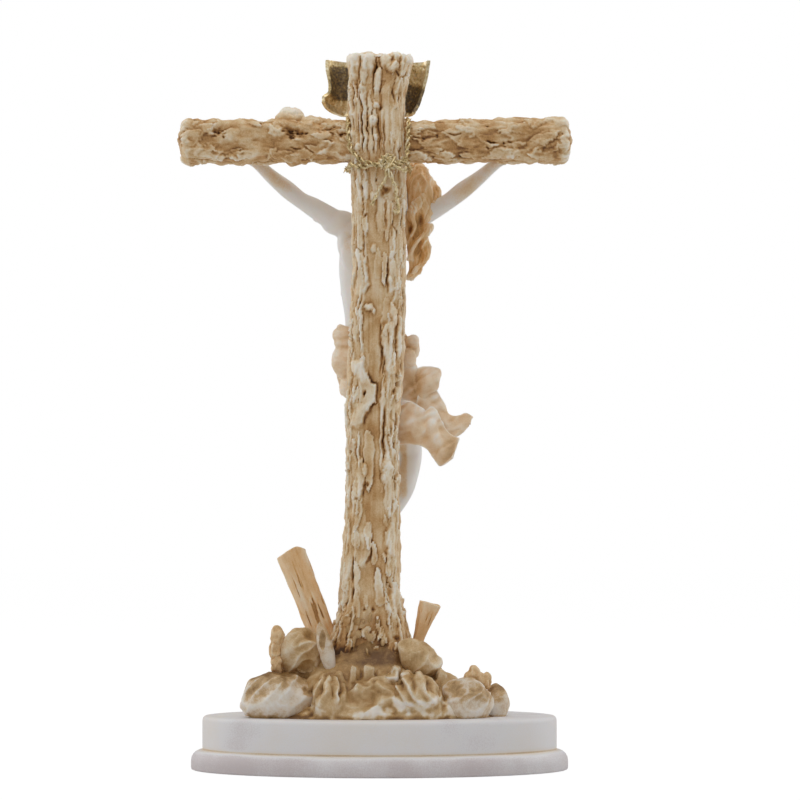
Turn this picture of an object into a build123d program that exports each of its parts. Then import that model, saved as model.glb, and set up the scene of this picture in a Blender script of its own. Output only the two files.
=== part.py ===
"""Standing crucifix: a bark-covered cross with its figure, planted in a rock mound on an oval plinth.

Frame, in millimetres: +Z up, the figure faces -Y, origin at the centre of the felt's underside.
"""

from build123d import *
import math
import os

# Driving sizes: plinth, felt and base screw
overall_height = 300.0  # floor to the top of the post
plinth_length = 156.8  # oval foot, along X
plinth_width = 100.0  # oval foot, along Y
plinth_height = 22.9  # floor to the plinth's top
foot_height = 8.6
foot_round = 4.3
drum_inset = 4.7  # the drum stands in from the foot by this
rim_round = 1.4
round_steps = 3
felt_thickness = 1.6
felt_inset = 5.0  # from the foot's edge
felt_proud = 0.4  # the felt stands below the foot by this
felt_gap = 0.25
screw_diameter = 5.0
screw_head_diameter = 9.0
screw_head_height = 3.0
washer_diameter = 12.0
washer_thickness = 1.2
screw_clearance = 0.15
screw_bite = 36.0  # length inside the post

# Driving sizes: mound and stones
mound_length = 104.0
mound_width = 74.0
mound_height = 33.0
mound_centre_x = 3.0
socket_floor = 7.0  # rock left under the post
mound_sides = 26
mound_relief = 0.05  # share of the radius
mound_lobes = 3
mound_ribs = 7
mound_twist = 9.0  # turn of the lobes from foot to top, in radians
mound_profile = ((0, 1.0), (0.22, 0.9), (0.5, 0.64), (0.75, 0.46), (1, 0.36))  # share of height, of reach
stone_sides = 9
pebble_sides = 7
ball_levels = (-0.96, -0.7, -0.25, 0.25, 0.7, 0.96)  # shares of the half height
stone_chips = 6
chip_turn = 2.4  # from one chip to the next, in radians
chip_rise = 0.35
chip_swing = 0.5
chip_reach = 0.86  # share of the stone's reach that a chip leaves
# Each stone: its middle, with the height above the plinth's top, and its radii
stones = {
    "boulder_left": [((41.5, 15.0, 7.4), (16.4, 14.0, 10.4))],
    "boulder_right": [((-35.0, 15.0, 6.0), (11.4, 12.0, 10.2))],
    "end_stone_right": [((-48.0, 6.0, 4.4), (5.4, 6.5, 8.4))],
    "ledge_rock_left": [((32.0, 6.5, 26.5), (9.6, 8.5, 9.8))],
    "ledge_rock_right": [((-15.6, 12.5, 23.6), (8.4, 8.0, 8.4))],
    "upright_shard": [((22.4, 15.5, 29.5), (3.6, 3.0, 10.8))],
}
pebbles = {
    "pebble_stack": [
        ((43.4, 11.0, 21.4), (3.6, 3.6, 3.9)),
        ((44.2, 11.0, 28.4), (3.4, 3.4, 3.9)),
        ((42.8, 11.0, 35.0), (3.4, 3.1, 3.8)),
    ],
    "pebble_pair": [((-38.6, 13.0, 17.6), (4.2, 3.4, 4.0)), ((-44.4, 13.0, 16.0), (2.6, 3.0, 4.4))],
}
# Blocks of the mound itself, as the stones
blocks = (
    ((20.0, 25.0, 6.0), (9.0, 9.5, 10.2)),
    ((4.0, 20.0, 8.0), (17.0, 13.0, 9.0)),
    ((4.5, 28.0, 1.5), (16.5, 9.0, 7.0)),
    ((-15.0, 24.0, 6.5), (10.6, 10.6, 12.0)),
    ((-27.0, 14.0, 6.0), (9.5, 10.0, 11.0)),
    ((38.0, 5.0, 7.0), (12.5, 13.0, 13.0)),
    ((24.0, -22.0, 6.0), (14.5, 12.0, 11.0)),
    ((-24.0, -20.0, 6.0), (13.5, 12.0, 10.0)),
    ((1.0, -26.0, 6.0), (13.5, 9.5, 11.0)),
)
# Teeth of the rock's crest: foot, with the height above the plinth's top, width, height and lean in degrees
teeth = (
    ((15.5, 22.5, 12.0), 5.6, 7.2, -14.0),
    ((9.8, 22.5, 12.0), 3.4, 9.4, -4.0),
    ((3.2, 22.0, 12.0), 6.6, 9.4, 3.0),
    ((-3.6, 22.0, 12.0), 3.8, 9.0, 14.0),
    ((-8.0, 22.0, 12.0), 3.6, 8.4, 20.0),
    ((-24.5, 19.0, 11.0), 4.6, 7.4, 18.0),
    ((12.0, -21.5, 12.0), 5.6, 9.0, -8.0),
    ((2.5, -22.5, 12.0), 4.6, 9.6, 3.0),
    ((-7.5, -21.5, 12.0), 5.4, 8.8, 12.0),
)
tooth_thickness = 4.2
tooth_taper = 0.6
# Folds of the rock's face: upper end, lower end, both with the height above the plinth's top
folds = (
    ((-8.0, 28.0, 14.0), (-13.0, 34.0, 2.0)),
    ((-13.0, 27.0, 16.5), (-19.0, 33.0, 4.0)),
    ((-18.5, 25.0, 15.5), (-24.0, 29.0, 4.0)),
    ((24.5, 25.5, 13.5), (27.0, 31.5, 3.0)),
    ((20.0, 27.5, 15.0), (20.5, 34.0, 3.0)),
    ((15.5, 28.0, 13.5), (13.0, 35.0, 4.5)),
    ((30.0, -22.0, 15.0), (32.0, -31.0, 3.0)),
    ((14.0, -28.0, 13.0), (15.5, -34.5, 3.0)),
    ((-11.0, -28.0, 13.0), (-13.0, -33.5, 3.0)),
)
fold_radius = 2.4
fold_taper = 0.5
fold_sides = 6
ledge_hollow = (29.5, 18.0, 20.5)  # shaded hollow under the left ledge rock
ledge_hollow_radii = (6.8, 6.5, 4.6)

# Driving sizes: stakes
stake_width = 9.8
stake_depth = 7.4
stake_length = 49.0
stake_lean = 24.0
stake_roll = 24.0  # turn about its own length
stake_taper = 0.78
stake_foot = (17.6, -1.0, 23.0)  # in the rock, above the plinth's top
stake_cut = 34.0  # slant of its sawn end
peg_width = 9.4
peg_depth = 7.0
peg_length = 31.0
peg_lean = 23.0
peg_roll = 12.0
peg_taper = 0.56
peg_foot = (-8.6, -1.0, 18.0)
peg_cut = 8.0

# Driving sizes: cross
post_width = 25.0
post_depth = 22.0
post_foot_x = 4.6  # the post leans a little
post_top_x = 0.4
post_flare = 6.0  # extra half width where it enters the rock
post_flare_run = 12.0  # the flare falls away over this height
bark_relief = 1.4
bark_furrows = 7
bark_cracks = 11
bark_drift = 0.7  # turn of the furrows from one course to the next, in radians
bark_sides = 24
log_squareness = 0.55  # 1 is round, less is squarer
post_courses = 13
flake_lift = 1.3  # a flake's free end stands off the bark by this
flake_root = 3.0  # depth of its root in the log
flake_belly = 0.62  # share of its length, from the root, where it is widest
flake_crown = 0.6  # width of its outer face, as a share
flake_tip = 0.4  # width of its free end, as a share
# Flakes of the back: place across, share of the post's height, half width, length, 1 where the free end is up
back_flakes = (
    (7.4, 0.955, 2.6, 20.0, -1),
    (2.4, 0.955, 2.2, 15.0, -1),
    (-3.0, 0.965, 2.6, 13.0, -1),
    (-7.6, 0.95, 2.6, 21.0, -1),
    (8.4, 0.72, 1.8, 20.0, -1),
    (-8.6, 0.74, 1.8, 26.0, 1),
    (-3.4, 0.66, 1.4, 14.0, -1),
    (8.6, 0.62, 1.8, 22.0, 1),
    (-7.6, 0.545, 3.2, 27.0, 1),
    (4.6, 0.475, 5.2, 25.0, -1),
    (-8.2, 0.40, 2.2, 24.0, -1),
    (8.6, 0.35, 2.2, 24.0, 1),
    (-4.0, 0.325, 2.4, 17.0, -1),
    (2.4, 0.235, 2.6, 17.0, -1),
    (-8.4, 0.255, 2.4, 22.0, 1),
    (8.2, 0.19, 2.4, 20.0, 1),
    (-4.4, 0.165, 2.2, 15.0, 1),
)
# Flakes of both sides, as those of the back
side_flakes = (
    (4.0, 0.96, 2.6, 14.0, -1),
    (3.0, 0.70, 2.0, 26.0, 1),
    (4.6, 0.54, 2.4, 28.0, -1),
    (2.4, 0.36, 2.2, 24.0, 1),
    (5.0, 0.22, 2.2, 20.0, -1),
)
beam_length = 164.0
beam_centre_x = 2.1
beam_height = 19.0
beam_depth = 17.0
beam_waist = 1.2  # the beam is lower by this on each side at the post
beam_waist_run = 33.0
beam_drop = 38.0  # its middle, below the top of the post
beam_courses = 11
lap_depth = 8.5
lap_shoulder = 2.6  # the tongue is lower than the beam by this on each side
dowel_diameter = 4.0
dowel_length = 11.0
stub_x = 38.5  # knob of a cut branch on the beam
stub_radius = 6.2

# Driving sizes: scroll and wire lashing
scroll_length = 44.0
scroll_height = 23.0
scroll_drop = 14.0  # its middle, below the top of the post
scroll_thickness = 1.4
scroll_curl = 7.5  # how far the ends turn back
scroll_bend = 8.2  # radius of the turned ends
scroll_pin_diameter = 1.6
scroll_pin_length = 8.0
scroll_pin_spacing = 12.0
# Outline of the sheet, in shares of its half length and half height
scroll_outline = (
    (-1, -1), (-0.3, -0.87), (0.3, -1), (0.82, -0.9), (1, 1),
    (0.35, 0.84), (-0.3, 1), (-0.93, 0.93), (-0.86, 0),
)
wire_diameter = 0.9
wire_gap = 0.25
wire_drop = 1.2  # below the beam's underside
knot_x = -5.0
knot_turns = 3
knot_pitch = 1.5
knot_height = 3.4
tail_length = 14.0
tail_extra = 2.8  # the second end is longer by this
tail_spread = 4.5

# Driving sizes: figure, with heights as drops below the beam's middle
figure_x = 3.6  # middle of the waist
figure_gap = 0.3  # between the back and the post
chest_width = 29.0
chest_depth = 17.0
chest_drop = 48.0
waist_width = 23.0
waist_depth = 13.5
waist_drop = 74.0
hip_width = 25.0
hip_depth = 15.0
hip_drop = 97.0
seat_height = 7.5
seat_taper = 0.82
shoulder_drop = 34.0
shoulder_depth = 14.3
shoulder_shift = 1.0  # towards the figure's right
neck_drop = 26.0
neck_radius = 4.6
neck_flare = 6.9  # half width where the neck leaves the shoulders
neck_shift = 2.5
neck_forward = 1.0
shoulder_inset = 4.9
shoulder_radius = 5.3
upper_arm_radius = 4.4
upper_arm_place = 0.4
elbow_radius = 3.4
elbow_forward = 1.6
elbow_sag = 0.8
forearm_radius = 3.5
forearm_place = 0.35
wrist_radius = 2.6
wrist_to_palm = 5.0
palm_to_knuckle = 2.6
hand_width = 8.4
hand_thickness = 3.6
knuckle_width = 7.6
knuckle_thickness = 2.9
finger_count = 4
finger_radius = 1.0
finger_pitch = 1.9
finger_length = 4.3
finger_curl = 1.4
finger_tip = 0.6  # radius
finger_sides = 5
thumb_radius = 1.2
thumb_inset = 1.0
thumb_length = 3.9
left_hand_x = 57.0
right_hand_x = -54.0
hand_drop = 3.0
arm_dowel_diameter = 1.8
arm_dowel_length = 9.0
arm_dowel_place = 4.1  # outwards from the shoulder
neck_dowel_aim = (-0.4, -0.3, 1.0)
back_dowel_diameter = 4.0
back_dowel_length = 14.0
back_dowel_drop = 56.0
thigh_radius = 6.6
thigh_middle_radius = 6.2
hip_spread = 6.0
thigh_drop = 2.0  # the thigh starts below the hips by this
knee_radius = 5.0
knee_drop = 130.0
knee_y = -31.0
left_knee_x = -2.0
right_knee_x = -13.0
calf_radius = 4.9
calf_place = 0.4
ankle_radius = 2.9
ankle_drop = 163.0
ankle_spread = 1.3
ankle_forward = 0.9
foot_x = 1.6
foot_length = 17.0
foot_thickness = 4.4
foot_spread = 0.6
instep_place = 0.45
instep_half_width = 3.5
sole_place = 0.8
sole_half_width = 4.0
sole_half_thickness = 1.85
toe_half_width = 3.1
toe_half_thickness = 1.1
nail_width = 1.4
nail_head_diameter = 3.2
nail_head_height = 1.1
nail_head_sides = 6
nail_bite = 6.0

# Driving sizes: head, hair and crown, in the head's own frame
head_x = -11.0
head_y = -30.0
head_drop = 16.0
head_tilt = 24.0  # towards the figure's right shoulder
head_nod = 24.0  # towards the chest
skull_width = 14.6
skull_depth = 16.0
skull_height = 16.0
skull_back = 1.0
skull_rise = 2.5
jaw_width = 12.0
jaw_depth = 12.5
jaw_height = 13.4
jaw_forward = 2.1
jaw_drop = 3.8
nose_forward = 6.6
nose_low = -2.1
nose_high = 2.5
nose_half_width = 1.45
nose_half_depth = 2.3
bridge_half_width = 0.75
bridge_half_depth = 0.9
neck_end = (1.5, 3.5)  # where the neck meets the skull, from the head's middle along X and Y
hair_thickness = 1.9
face_width = 12.6
face_height = 16.8
face_depth = 15.6
face_forward = 9.6
face_drop = 2.1
# Each station of a lock: its place from the head's middle, its half width and half depth
back_lock = (
    ((-1.6, 5.2, 1.2), 6.0, 4.0),
    ((-4.3, 15.2, -9.2), 5.2, 3.2),
    ((-4.7, 17.2, -20.4), 4.4, 2.4),
    ((-4.2, 17.6, -30.4), 3.8, 2.0),
    ((-2.4, 17.6, -39.0), 1.6, 1.0),
)
side_lock = (
    ((6.1, 3.5, 2.4), 2.8, 3.6),
    ((11.0, 5.2, -6.4), 2.4, 3.2),
    ((12.4, 3.1, -14.4), 1.2, 1.6),
)
beard_radii = (5.2, 5.2, 5.5)
beard_forward = 3.5
beard_drop = 8.4
crown_thickness = 1.7
crown_rise = 4.2
crown_sides = 16
crown_thorns = 11
thorn_length = 3.0
thorn_tip = 0.3
thorn_tilt = 0.5  # how far the thorns point up and down, as a slope
thorn_waves = 5

# Driving sizes: loincloth
cloth_top_drop = 76.0
cloth_bottom_drop = 105.0
cloth_hem = 2.0  # thickness at the top and bottom
cloth_swell = 2.7  # more thickness half way up
cloth_folds = 9
cloth_fold_depth = 0.9
cloth_fold_drift = 4.0  # turn of the folds from bottom to top, in radians
cloth_sides = 27
cloth_hem_tilt = 12.0
cloth_levels = (0, 0.25, 0.5, 0.75, 1)
cloth_knot_radii = (4.9, 4.9, 5.4)
cloth_knot_out = 3.4
# Each station of a flying end: its place along X and Y, its drop, its half height and half thickness
tail_upper = (
    (-8.0, -15.0, 94.0, 6.0, 3.8),
    (-17.0, -14.0, 98.0, 6.5, 2.9),
    (-23.0, -12.5, 101.5, 5.0, 1.7),
    (-27.0, -11.5, 103.5, 2.0, 0.85),
)
tail_lower = (
    (-8.0, -14.0, 110.0, 5.0, 2.6),
    (-16.0, -6.0, 113.5, 8.0, 2.2),
    (-25.0, -2.5, 118.5, 11.0, 1.7),
    (-33.0, -2.5, 118.0, 9.0, 1.3),
    (-38.8, -2.0, 114.0, 2.6, 0.85),
)

# Places that follow from the sizes
plinth_floor = felt_proud
front_y = bark_relief - post_depth / 2  # flat front of the post and the beam
back_y = post_depth / 2
beam_z = overall_height - beam_drop
beam_y = (beam_depth - post_depth) / 2
scroll_z = overall_height - scroll_drop
lap_y = front_y + lap_depth
notch_height = beam_height - 2 * beam_waist - 2 * lap_shoulder
post_foot_z = plinth_height + socket_floor
screw_tip_z = post_foot_z + screw_bite
felt_ceiling = felt_thickness
washer_floor = felt_ceiling + screw_head_height + screw_clearance
counterbore_top = washer_floor + washer_thickness
wire_pitch = wire_diameter + wire_gap
wire_stand = wire_gap + wire_diameter / 2  # from a surface to the middle of the wire
band_low_z = beam_z - beam_height / 2 - wire_drop
band_y = back_y + wire_pitch + wire_stand
figure_back = front_y - figure_gap
chest_y = figure_back - chest_depth / 2
waist_y = figure_back - waist_depth / 2
hip_y = figure_back - hip_depth / 2
chest_z = beam_z - chest_drop
waist_z = beam_z - waist_drop
hip_z = beam_z - hip_drop
shoulder_z = beam_z - shoulder_drop
neck_z = beam_z - neck_drop
head_z = beam_z - head_drop
neck_root = (figure_x - neck_shift, chest_y - neck_forward, neck_z)


def oval(length, width, z):
    """Oval sketch at height z."""
    return Pos(0, 0, z) * Ellipse(length / 2, width / 2)


def touching(a, b):
    """True where the two shapes' boxes meet."""
    low_a, high_a = a.bounding_box().min, a.bounding_box().max
    low_b, high_b = b.bounding_box().min, b.bounding_box().max
    pairs = zip(tuple(low_a), tuple(high_a), tuple(low_b), tuple(high_b))
    return all(la <= hb and lb <= ha for la, ha, lb, hb in pairs)


def biggest(shape):
    """The largest solid of a shape that was cut."""
    return max(shape.solids(), key=lambda solid: solid.volume)


def scribe(piece, *neighbours):
    """The piece cut to fit against its neighbours, without the crumbs that the cut leaves."""
    for other in neighbours:
        if touching(piece, other):
            piece = biggest(piece - other)
    return piece


def rod(start, end, diameter):
    """Round rod from start to end."""
    start, end = Vector(*start), Vector(*end)
    plane = Plane(origin=start, z_dir=end - start)
    return extrude(plane * Circle(diameter / 2), (end - start).length)


def rounded(values, share):
    """Value of a smooth curve through four values, at a share of the way from the second to the third."""
    before, start, end, after = values
    slope_in = (end - before) / 2
    slope_out = (after - start) / 2
    bend = 3 * (end - start) - 2 * slope_in - slope_out
    twist = slope_in + slope_out - 2 * (end - start)
    return start + share * (slope_in + share * (bend + share * twist))


def eased(stations, steps):
    """The stations with more put between them along smooth curves."""
    rows = [(*point, half_width, half_depth) for point, half_width, half_depth in stations]
    rows = [rows[0]] + rows + [rows[-1]]
    result = []
    for i in range(1, len(rows) - 2):
        for step in range(steps):
            x, y, z, width, depth = (rounded(values, step / steps) for values in zip(*rows[i - 1:i + 3]))
            result.append(((x, y, z), width, depth))
    return result + [stations[-1]]


def limb(stations, side=(1, 0, 0), sides=12, steps=2):
    """Faceted loft through ovals: each station is a point, a half width along side, and a half depth."""
    stations = eased(stations, steps)
    points = [Vector(*station[0]) for station in stations]
    side = Vector(*side)
    sections = []
    for i, (_, half_width, half_depth) in enumerate(stations):
        along = (points[min(i + 1, len(points) - 1)] - points[max(i - 1, 0)]).normalized()
        across = side - along * side.dot(along)
        angles = [2 * math.pi * k / sides for k in range(sides)]
        ring = [(half_width * math.cos(angle), half_depth * math.sin(angle)) for angle in angles]
        sections.append(Plane(origin=points[i], x_dir=across, z_dir=along) * Polygon(*ring, align=None))
    return loft(sections, ruled=True)


def ball(centre, radii, sides=12):
    """Faceted ball stretched to three radii, its axis upright."""
    x, y, z = centre
    stations = []
    for height in ball_levels:
        girth = math.sqrt(1 - height ** 2)
        stations.append(((x, y, z + radii[2] * height), radii[0] * girth, radii[1] * girth))
    return limb(stations, sides=sides, steps=1)


def between(a, b, share):
    """Point or number at a share of the way from a to b."""
    if isinstance(a, (int, float)):
        return a + (b - a) * share
    return tuple(p + (q - p) * share for p, q in zip(a, b))


def on_plinth(point):
    """Point whose height is given above the plinth's top."""
    return (point[0], point[1], plinth_height + point[2])


def bark_ring(half_width, half_depth, course):
    """Outline of a hewn log: a soft rectangle with furrows, flat on its low second-axis side."""
    ring = []
    for i in range(bark_sides):
        angle = 2 * math.pi * i / bark_sides
        c, s = math.cos(angle), math.sin(angle)
        u = half_width * math.copysign(abs(c) ** log_squareness, c)
        v = half_depth * math.copysign(abs(s) ** log_squareness, s)
        furrow = math.sin(bark_furrows * angle + bark_drift * course)
        crack = math.sin(bark_cracks * angle + bark_furrows * bark_drift * course)
        shrink = 1 - bark_relief * (2 + furrow + crack) / 4 / math.hypot(u, v)
        ring.append((u * shrink, max(v * shrink, bark_relief - half_depth)))
    return ring


# Plinth, felt and base screw
def oval_block(profile):
    """Oval block through a profile of insets from the plinth's foot and heights."""
    sections = [oval(plinth_length - 2 * inset, plinth_width - 2 * inset, z) for inset, z in profile]
    return loft(sections, ruled=True)


def make_plinth():
    quarter = [math.pi / 2 * i / round_steps for i in range(round_steps + 1)]
    foot = [(0, plinth_floor)]
    for angle in quarter:
        inset = foot_round * (1 - math.cos(angle))
        foot.append((inset, foot_height - foot_round * (1 - math.sin(angle))))
    drum = [(drum_inset, plinth_floor)]
    for angle in quarter:
        inset = drum_inset + rim_round * (1 - math.cos(angle))
        drum.append((inset, plinth_height - rim_round * (1 - math.sin(angle))))
    recess_inset = felt_inset - felt_gap
    recess = oval_block([(recess_inset, 0), (recess_inset, felt_ceiling)])
    x = post_foot_x
    counterbore = rod((x, 0, 0), (x, 0, counterbore_top), washer_diameter + 2 * screw_clearance)
    hole = rod((x, 0, 0), (x, 0, plinth_height), screw_diameter + 2 * screw_clearance)
    return oval_block(foot) + oval_block(drum) - recess - counterbore - hole


def make_felt():
    return extrude(oval(plinth_length - 2 * felt_inset, plinth_width - 2 * felt_inset, 0), felt_thickness)


def make_base_screw():
    x = post_foot_x
    head = rod((x, 0, washer_floor - screw_head_height), (x, 0, washer_floor), screw_head_diameter)
    return head + rod((x, 0, washer_floor), (x, 0, screw_tip_z), screw_diameter)


def make_base_washer():
    x = post_foot_x
    disc = rod((x, 0, washer_floor), (x, 0, counterbore_top), washer_diameter)
    return disc - rod((x, 0, washer_floor), (x, 0, counterbore_top), screw_diameter + 2 * screw_clearance)


# Cross
def post_x(z):
    """Middle of the leaning post at height z."""
    return between(post_foot_x, post_top_x, (z - post_foot_z) / (overall_height - post_foot_z))


def post_half_width(z):
    """Half width of the post, which flares like a root where it enters the rock."""
    return post_width / 2 + post_flare * math.exp(-max(0.0, z - post_foot_z) / post_flare_run)


def bark_flake(turn, across, share, half_width, length, free_end):
    """Flake of bark on a face of the post, rooted in the log and standing off it at its free end."""
    z = between(post_foot_z, overall_height, share)
    reach = post_half_width(z) if turn else back_y
    low = reach - flake_root
    root = (0, flake_tip, reach - bark_relief)
    belly = (flake_belly, 1, reach + flake_lift / 2)
    tip = (1, flake_tip, reach + flake_lift)
    sections = []
    for place, width, top in (root, belly, tip):
        half = half_width * width
        outer = half * flake_crown
        ring = ((across - half, low), (across + half, low), (across + outer, top), (across - outer, top))
        sections.append(Pos(0, 0, free_end * length * (place - 0.5)) * Polygon(*ring, align=None))
    return Pos(post_x(z), 0, z) * Rotation(0, 0, turn) * loft(sections, ruled=True)


def make_post(screw):
    sections = []
    for course in range(post_courses + 1):
        z = between(post_foot_z, overall_height, course / post_courses)
        ring = bark_ring(post_half_width(z), post_depth / 2, course)
        sections.append(Pos(post_x(z), 0, z) * Polygon(*ring, align=None))
    log = loft(sections, ruled=True)
    for flake in back_flakes:
        log = log + bark_flake(0, *flake)
    for across, *flake in side_flakes:
        log = log + bark_flake(90, across, *flake) + bark_flake(-90, -across, *flake)
    notch = Pos(post_x(beam_z), front_y, beam_z) * Box(2 * post_width, 2 * lap_depth, notch_height)
    return biggest(log - notch - screw)


def make_beam(post):
    sections = []
    for course in range(beam_courses + 1):
        x = beam_centre_x + beam_length * (course / beam_courses - 0.5)
        waist = beam_waist * math.exp(-(((x - post_x(beam_z)) / beam_waist_run) ** 2))
        ring = bark_ring(beam_height / 2 - waist, beam_depth / 2, course)
        plane = Plane(origin=(x, beam_y, beam_z), x_dir=(0, 0, 1), z_dir=(-1, 0, 0))
        sections.append(plane * Polygon(*ring, align=None))
    log = loft(sections, ruled=True)
    stub_z = beam_z + beam_height / 2 - bark_relief
    stub = ball((stub_x, beam_y, stub_z), (stub_radius, stub_radius, stub_radius))
    return scribe(biggest(log + stub), post)


def make_lap_dowel():
    x = post_x(beam_z)
    half = dowel_length / 2
    return rod((x, lap_y - half, beam_z), (x, lap_y + half, beam_z), dowel_diameter)


# Scroll
def make_scroll_pins():
    pins = []
    for side in (-1, 1):
        x = post_x(scroll_z) + side * scroll_pin_spacing / 2
        start = front_y - scroll_thickness
        pins.append(rod((x, start, scroll_z), (x, start + scroll_pin_length, scroll_z), scroll_pin_diameter))
    return pins


def make_scroll(post, beam):
    x = post_x(scroll_z)
    half = scroll_length / 2
    flat = post_width / 2 + scroll_thickness
    back = front_y - scroll_thickness / 2
    line = Polyline((-flat, 0), (flat, 0))
    right = RadiusArc((flat, 0), (half, scroll_curl), scroll_bend)
    left = RadiusArc((-half, scroll_curl), (-flat, 0), scroll_bend)
    band = offset(Curve() + [left, line, right], scroll_thickness / 2, side=Side.BOTH)
    sheet = extrude(Pos(x, back, scroll_z - scroll_height / 2) * make_face(band), scroll_height)
    corners = [(half * across, scroll_height / 2 * up) for across, up in scroll_outline]
    face = Plane(origin=(x, 0, scroll_z), x_dir=(-1, 0, 0), z_dir=(0, 1, 0)) * Polygon(*corners, align=None)
    return scribe(biggest(sheet & extrude(face, 2 * post_depth, both=True)), post, beam)


# Lashing
def wire(route):
    """Six-sided wire, sharply kinked at each point of its route."""
    path = Polyline(*route)
    start = Plane(origin=path @ 0, z_dir=path % 0)
    return sweep(start * RegularPolygon(wire_diameter / 2, 6), path=path, transition=Transition.RIGHT)


def lashing_strand(side, layer):
    """One wire of the lashing: along the post's back, up beside it, over the beam and back under it."""
    x = post_x(beam_z)
    near = x + side * (post_width / 2 + wire_stand + layer * wire_pitch)
    far = x - side * (post_width / 2 + wire_stand + layer * wire_pitch)
    beam_back = beam_y + beam_depth / 2 + wire_stand
    front = front_y - wire_stand - layer * wire_pitch
    low = band_low_z - layer * wire_pitch
    high = beam_z + beam_height / 2 + wire_stand
    route = [
        (knot_x + side * wire_gap, band_y, low),
        (near, band_y, low),
        (near, beam_back, low),
        (near, beam_back, high),
        (near, front, high),
        (far, front, low),
        (far, band_y, low),
        (knot_x - side * wire_gap, band_y, low),
    ]
    return wire(route)


def make_knot():
    """Wire wound round the two strands, with both ends hanging down the post."""
    middle_z = band_low_z - wire_pitch / 2
    corners = knot_turns * 4
    route = [(knot_x + tail_spread, band_y + wire_gap, middle_z - tail_length)]
    for i in range(corners + 1):
        x = knot_x + knot_pitch * knot_turns * (0.5 - i / corners)
        out = 1 if i % 4 < 2 else -1
        up = -1 if i % 4 in (0, 3) else 1
        route.append((x, band_y + out * wire_pitch, middle_z + up * knot_height / 2))
    route.append((knot_x - tail_spread, band_y + wire_gap, middle_z - tail_length - tail_extra))
    return wire(route)


# Rock
def stone(centre, radii, sides, number):
    """Boulder: a stretched ball with a few flats broken off, standing on the plinth's top or higher."""
    body = ball((0, 0, 0), radii, sides)
    for chip in range(stone_chips):
        turn = chip_turn * chip + number
        rise = chip_rise + chip_swing * math.sin(chip + number)
        aim = Vector(math.cos(turn) * math.cos(rise), math.sin(turn) * math.cos(rise), math.sin(rise))
        reach = math.sqrt(sum((radius * share) ** 2 for radius, share in zip(radii, aim)))
        body = split(body, Plane(origin=aim * reach * chip_reach, z_dir=aim), keep=Keep.BOTTOM)
    body = Pos(*on_plinth(centre)) * body
    if body.bounding_box().min.Z < plinth_height:
        body = split(body, Plane.XY.offset(plinth_height), keep=Keep.TOP)
    return biggest(body)


def tooth(foot, width, height, lean):
    """Upright slab of the rock's crest, narrower at its top."""
    base = Rectangle(width, tooth_thickness)
    top = Pos(0, 0, height) * Rectangle(width * tooth_taper, tooth_thickness * tooth_taper)
    return Pos(*on_plinth(foot)) * Rotation(0, -lean, 0) * loft([base, top], ruled=True)


def fold(upper, lower):
    """Ridge down the rock's face, thickest half way."""
    ends = on_plinth(upper), on_plinth(lower)
    thin = fold_radius * fold_taper
    stations = [(ends[0], thin, thin), (between(*ends, 0.5), fold_radius, fold_radius), (ends[1], thin, thin)]
    return limb(stations, sides=fold_sides, steps=1)


def timber(foot, lean, roll, width, depth, length, taper, cut):
    """Split timber from a point in the rock, leaning in the XZ plane, wider at its slanted top."""
    narrow = Rectangle(width * taper, depth * taper)
    wide = Pos(0, 0, length) * Rectangle(width, depth)
    bar = Rotation(0, 0, roll) * loft([narrow, wide])
    tilt = math.radians(cut)
    middle = length - width / 2 * abs(math.tan(tilt))
    slant = Plane(origin=(0, 0, middle), z_dir=(math.sin(tilt), 0, math.cos(tilt)))
    bar = split(bar, slant, keep=Keep.BOTTOM)
    return Pos(*on_plinth(foot)) * Rotation(0, lean, 0) * bar


def make_mound(*planted):
    sections = []
    for height, reach in mound_profile:
        ring = []
        for i in range(mound_sides):
            angle = 2 * math.pi * i / mound_sides
            bump = math.sin(mound_lobes * angle + mound_twist * height)
            bump += math.sin(mound_ribs * angle - mound_twist * height)
            size = reach * (1 + mound_relief * bump)
            ring.append((mound_length / 2 * size * math.cos(angle), mound_width / 2 * size * math.sin(angle)))
        shift = between(mound_centre_x, post_foot_x, height)
        sections.append(Pos(shift, 0, plinth_height + mound_height * height) * Polygon(*ring, align=None))
    rock = loft(sections, ruled=True)
    for number, block in enumerate(blocks):
        rock = rock + stone(*block, stone_sides, number)
    for place in teeth:
        rock = rock + tooth(*place)
    for ends in folds:
        rock = rock + fold(*ends)
    x = post_foot_x
    hole = rod((x, 0, plinth_height), (x, 0, post_foot_z), screw_diameter + 2 * screw_clearance)
    return scribe(biggest(rock) - hole, *planted)


# Figure
def make_torso(*neighbours):
    x = figure_x
    body = limb([
        ((x, hip_y, hip_z - seat_height), hip_width / 2 * seat_taper, hip_depth / 2 * seat_taper),
        ((x, hip_y, hip_z), hip_width / 2, hip_depth / 2),
        ((x, waist_y, waist_z), waist_width / 2, waist_depth / 2),
        ((x, chest_y, chest_z), chest_width / 2, chest_depth / 2),
        ((x - shoulder_shift, chest_y, shoulder_z), chest_width / 2, shoulder_depth / 2),
        (neck_root, neck_flare, neck_radius),
    ])
    return scribe(body, *neighbours)


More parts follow.
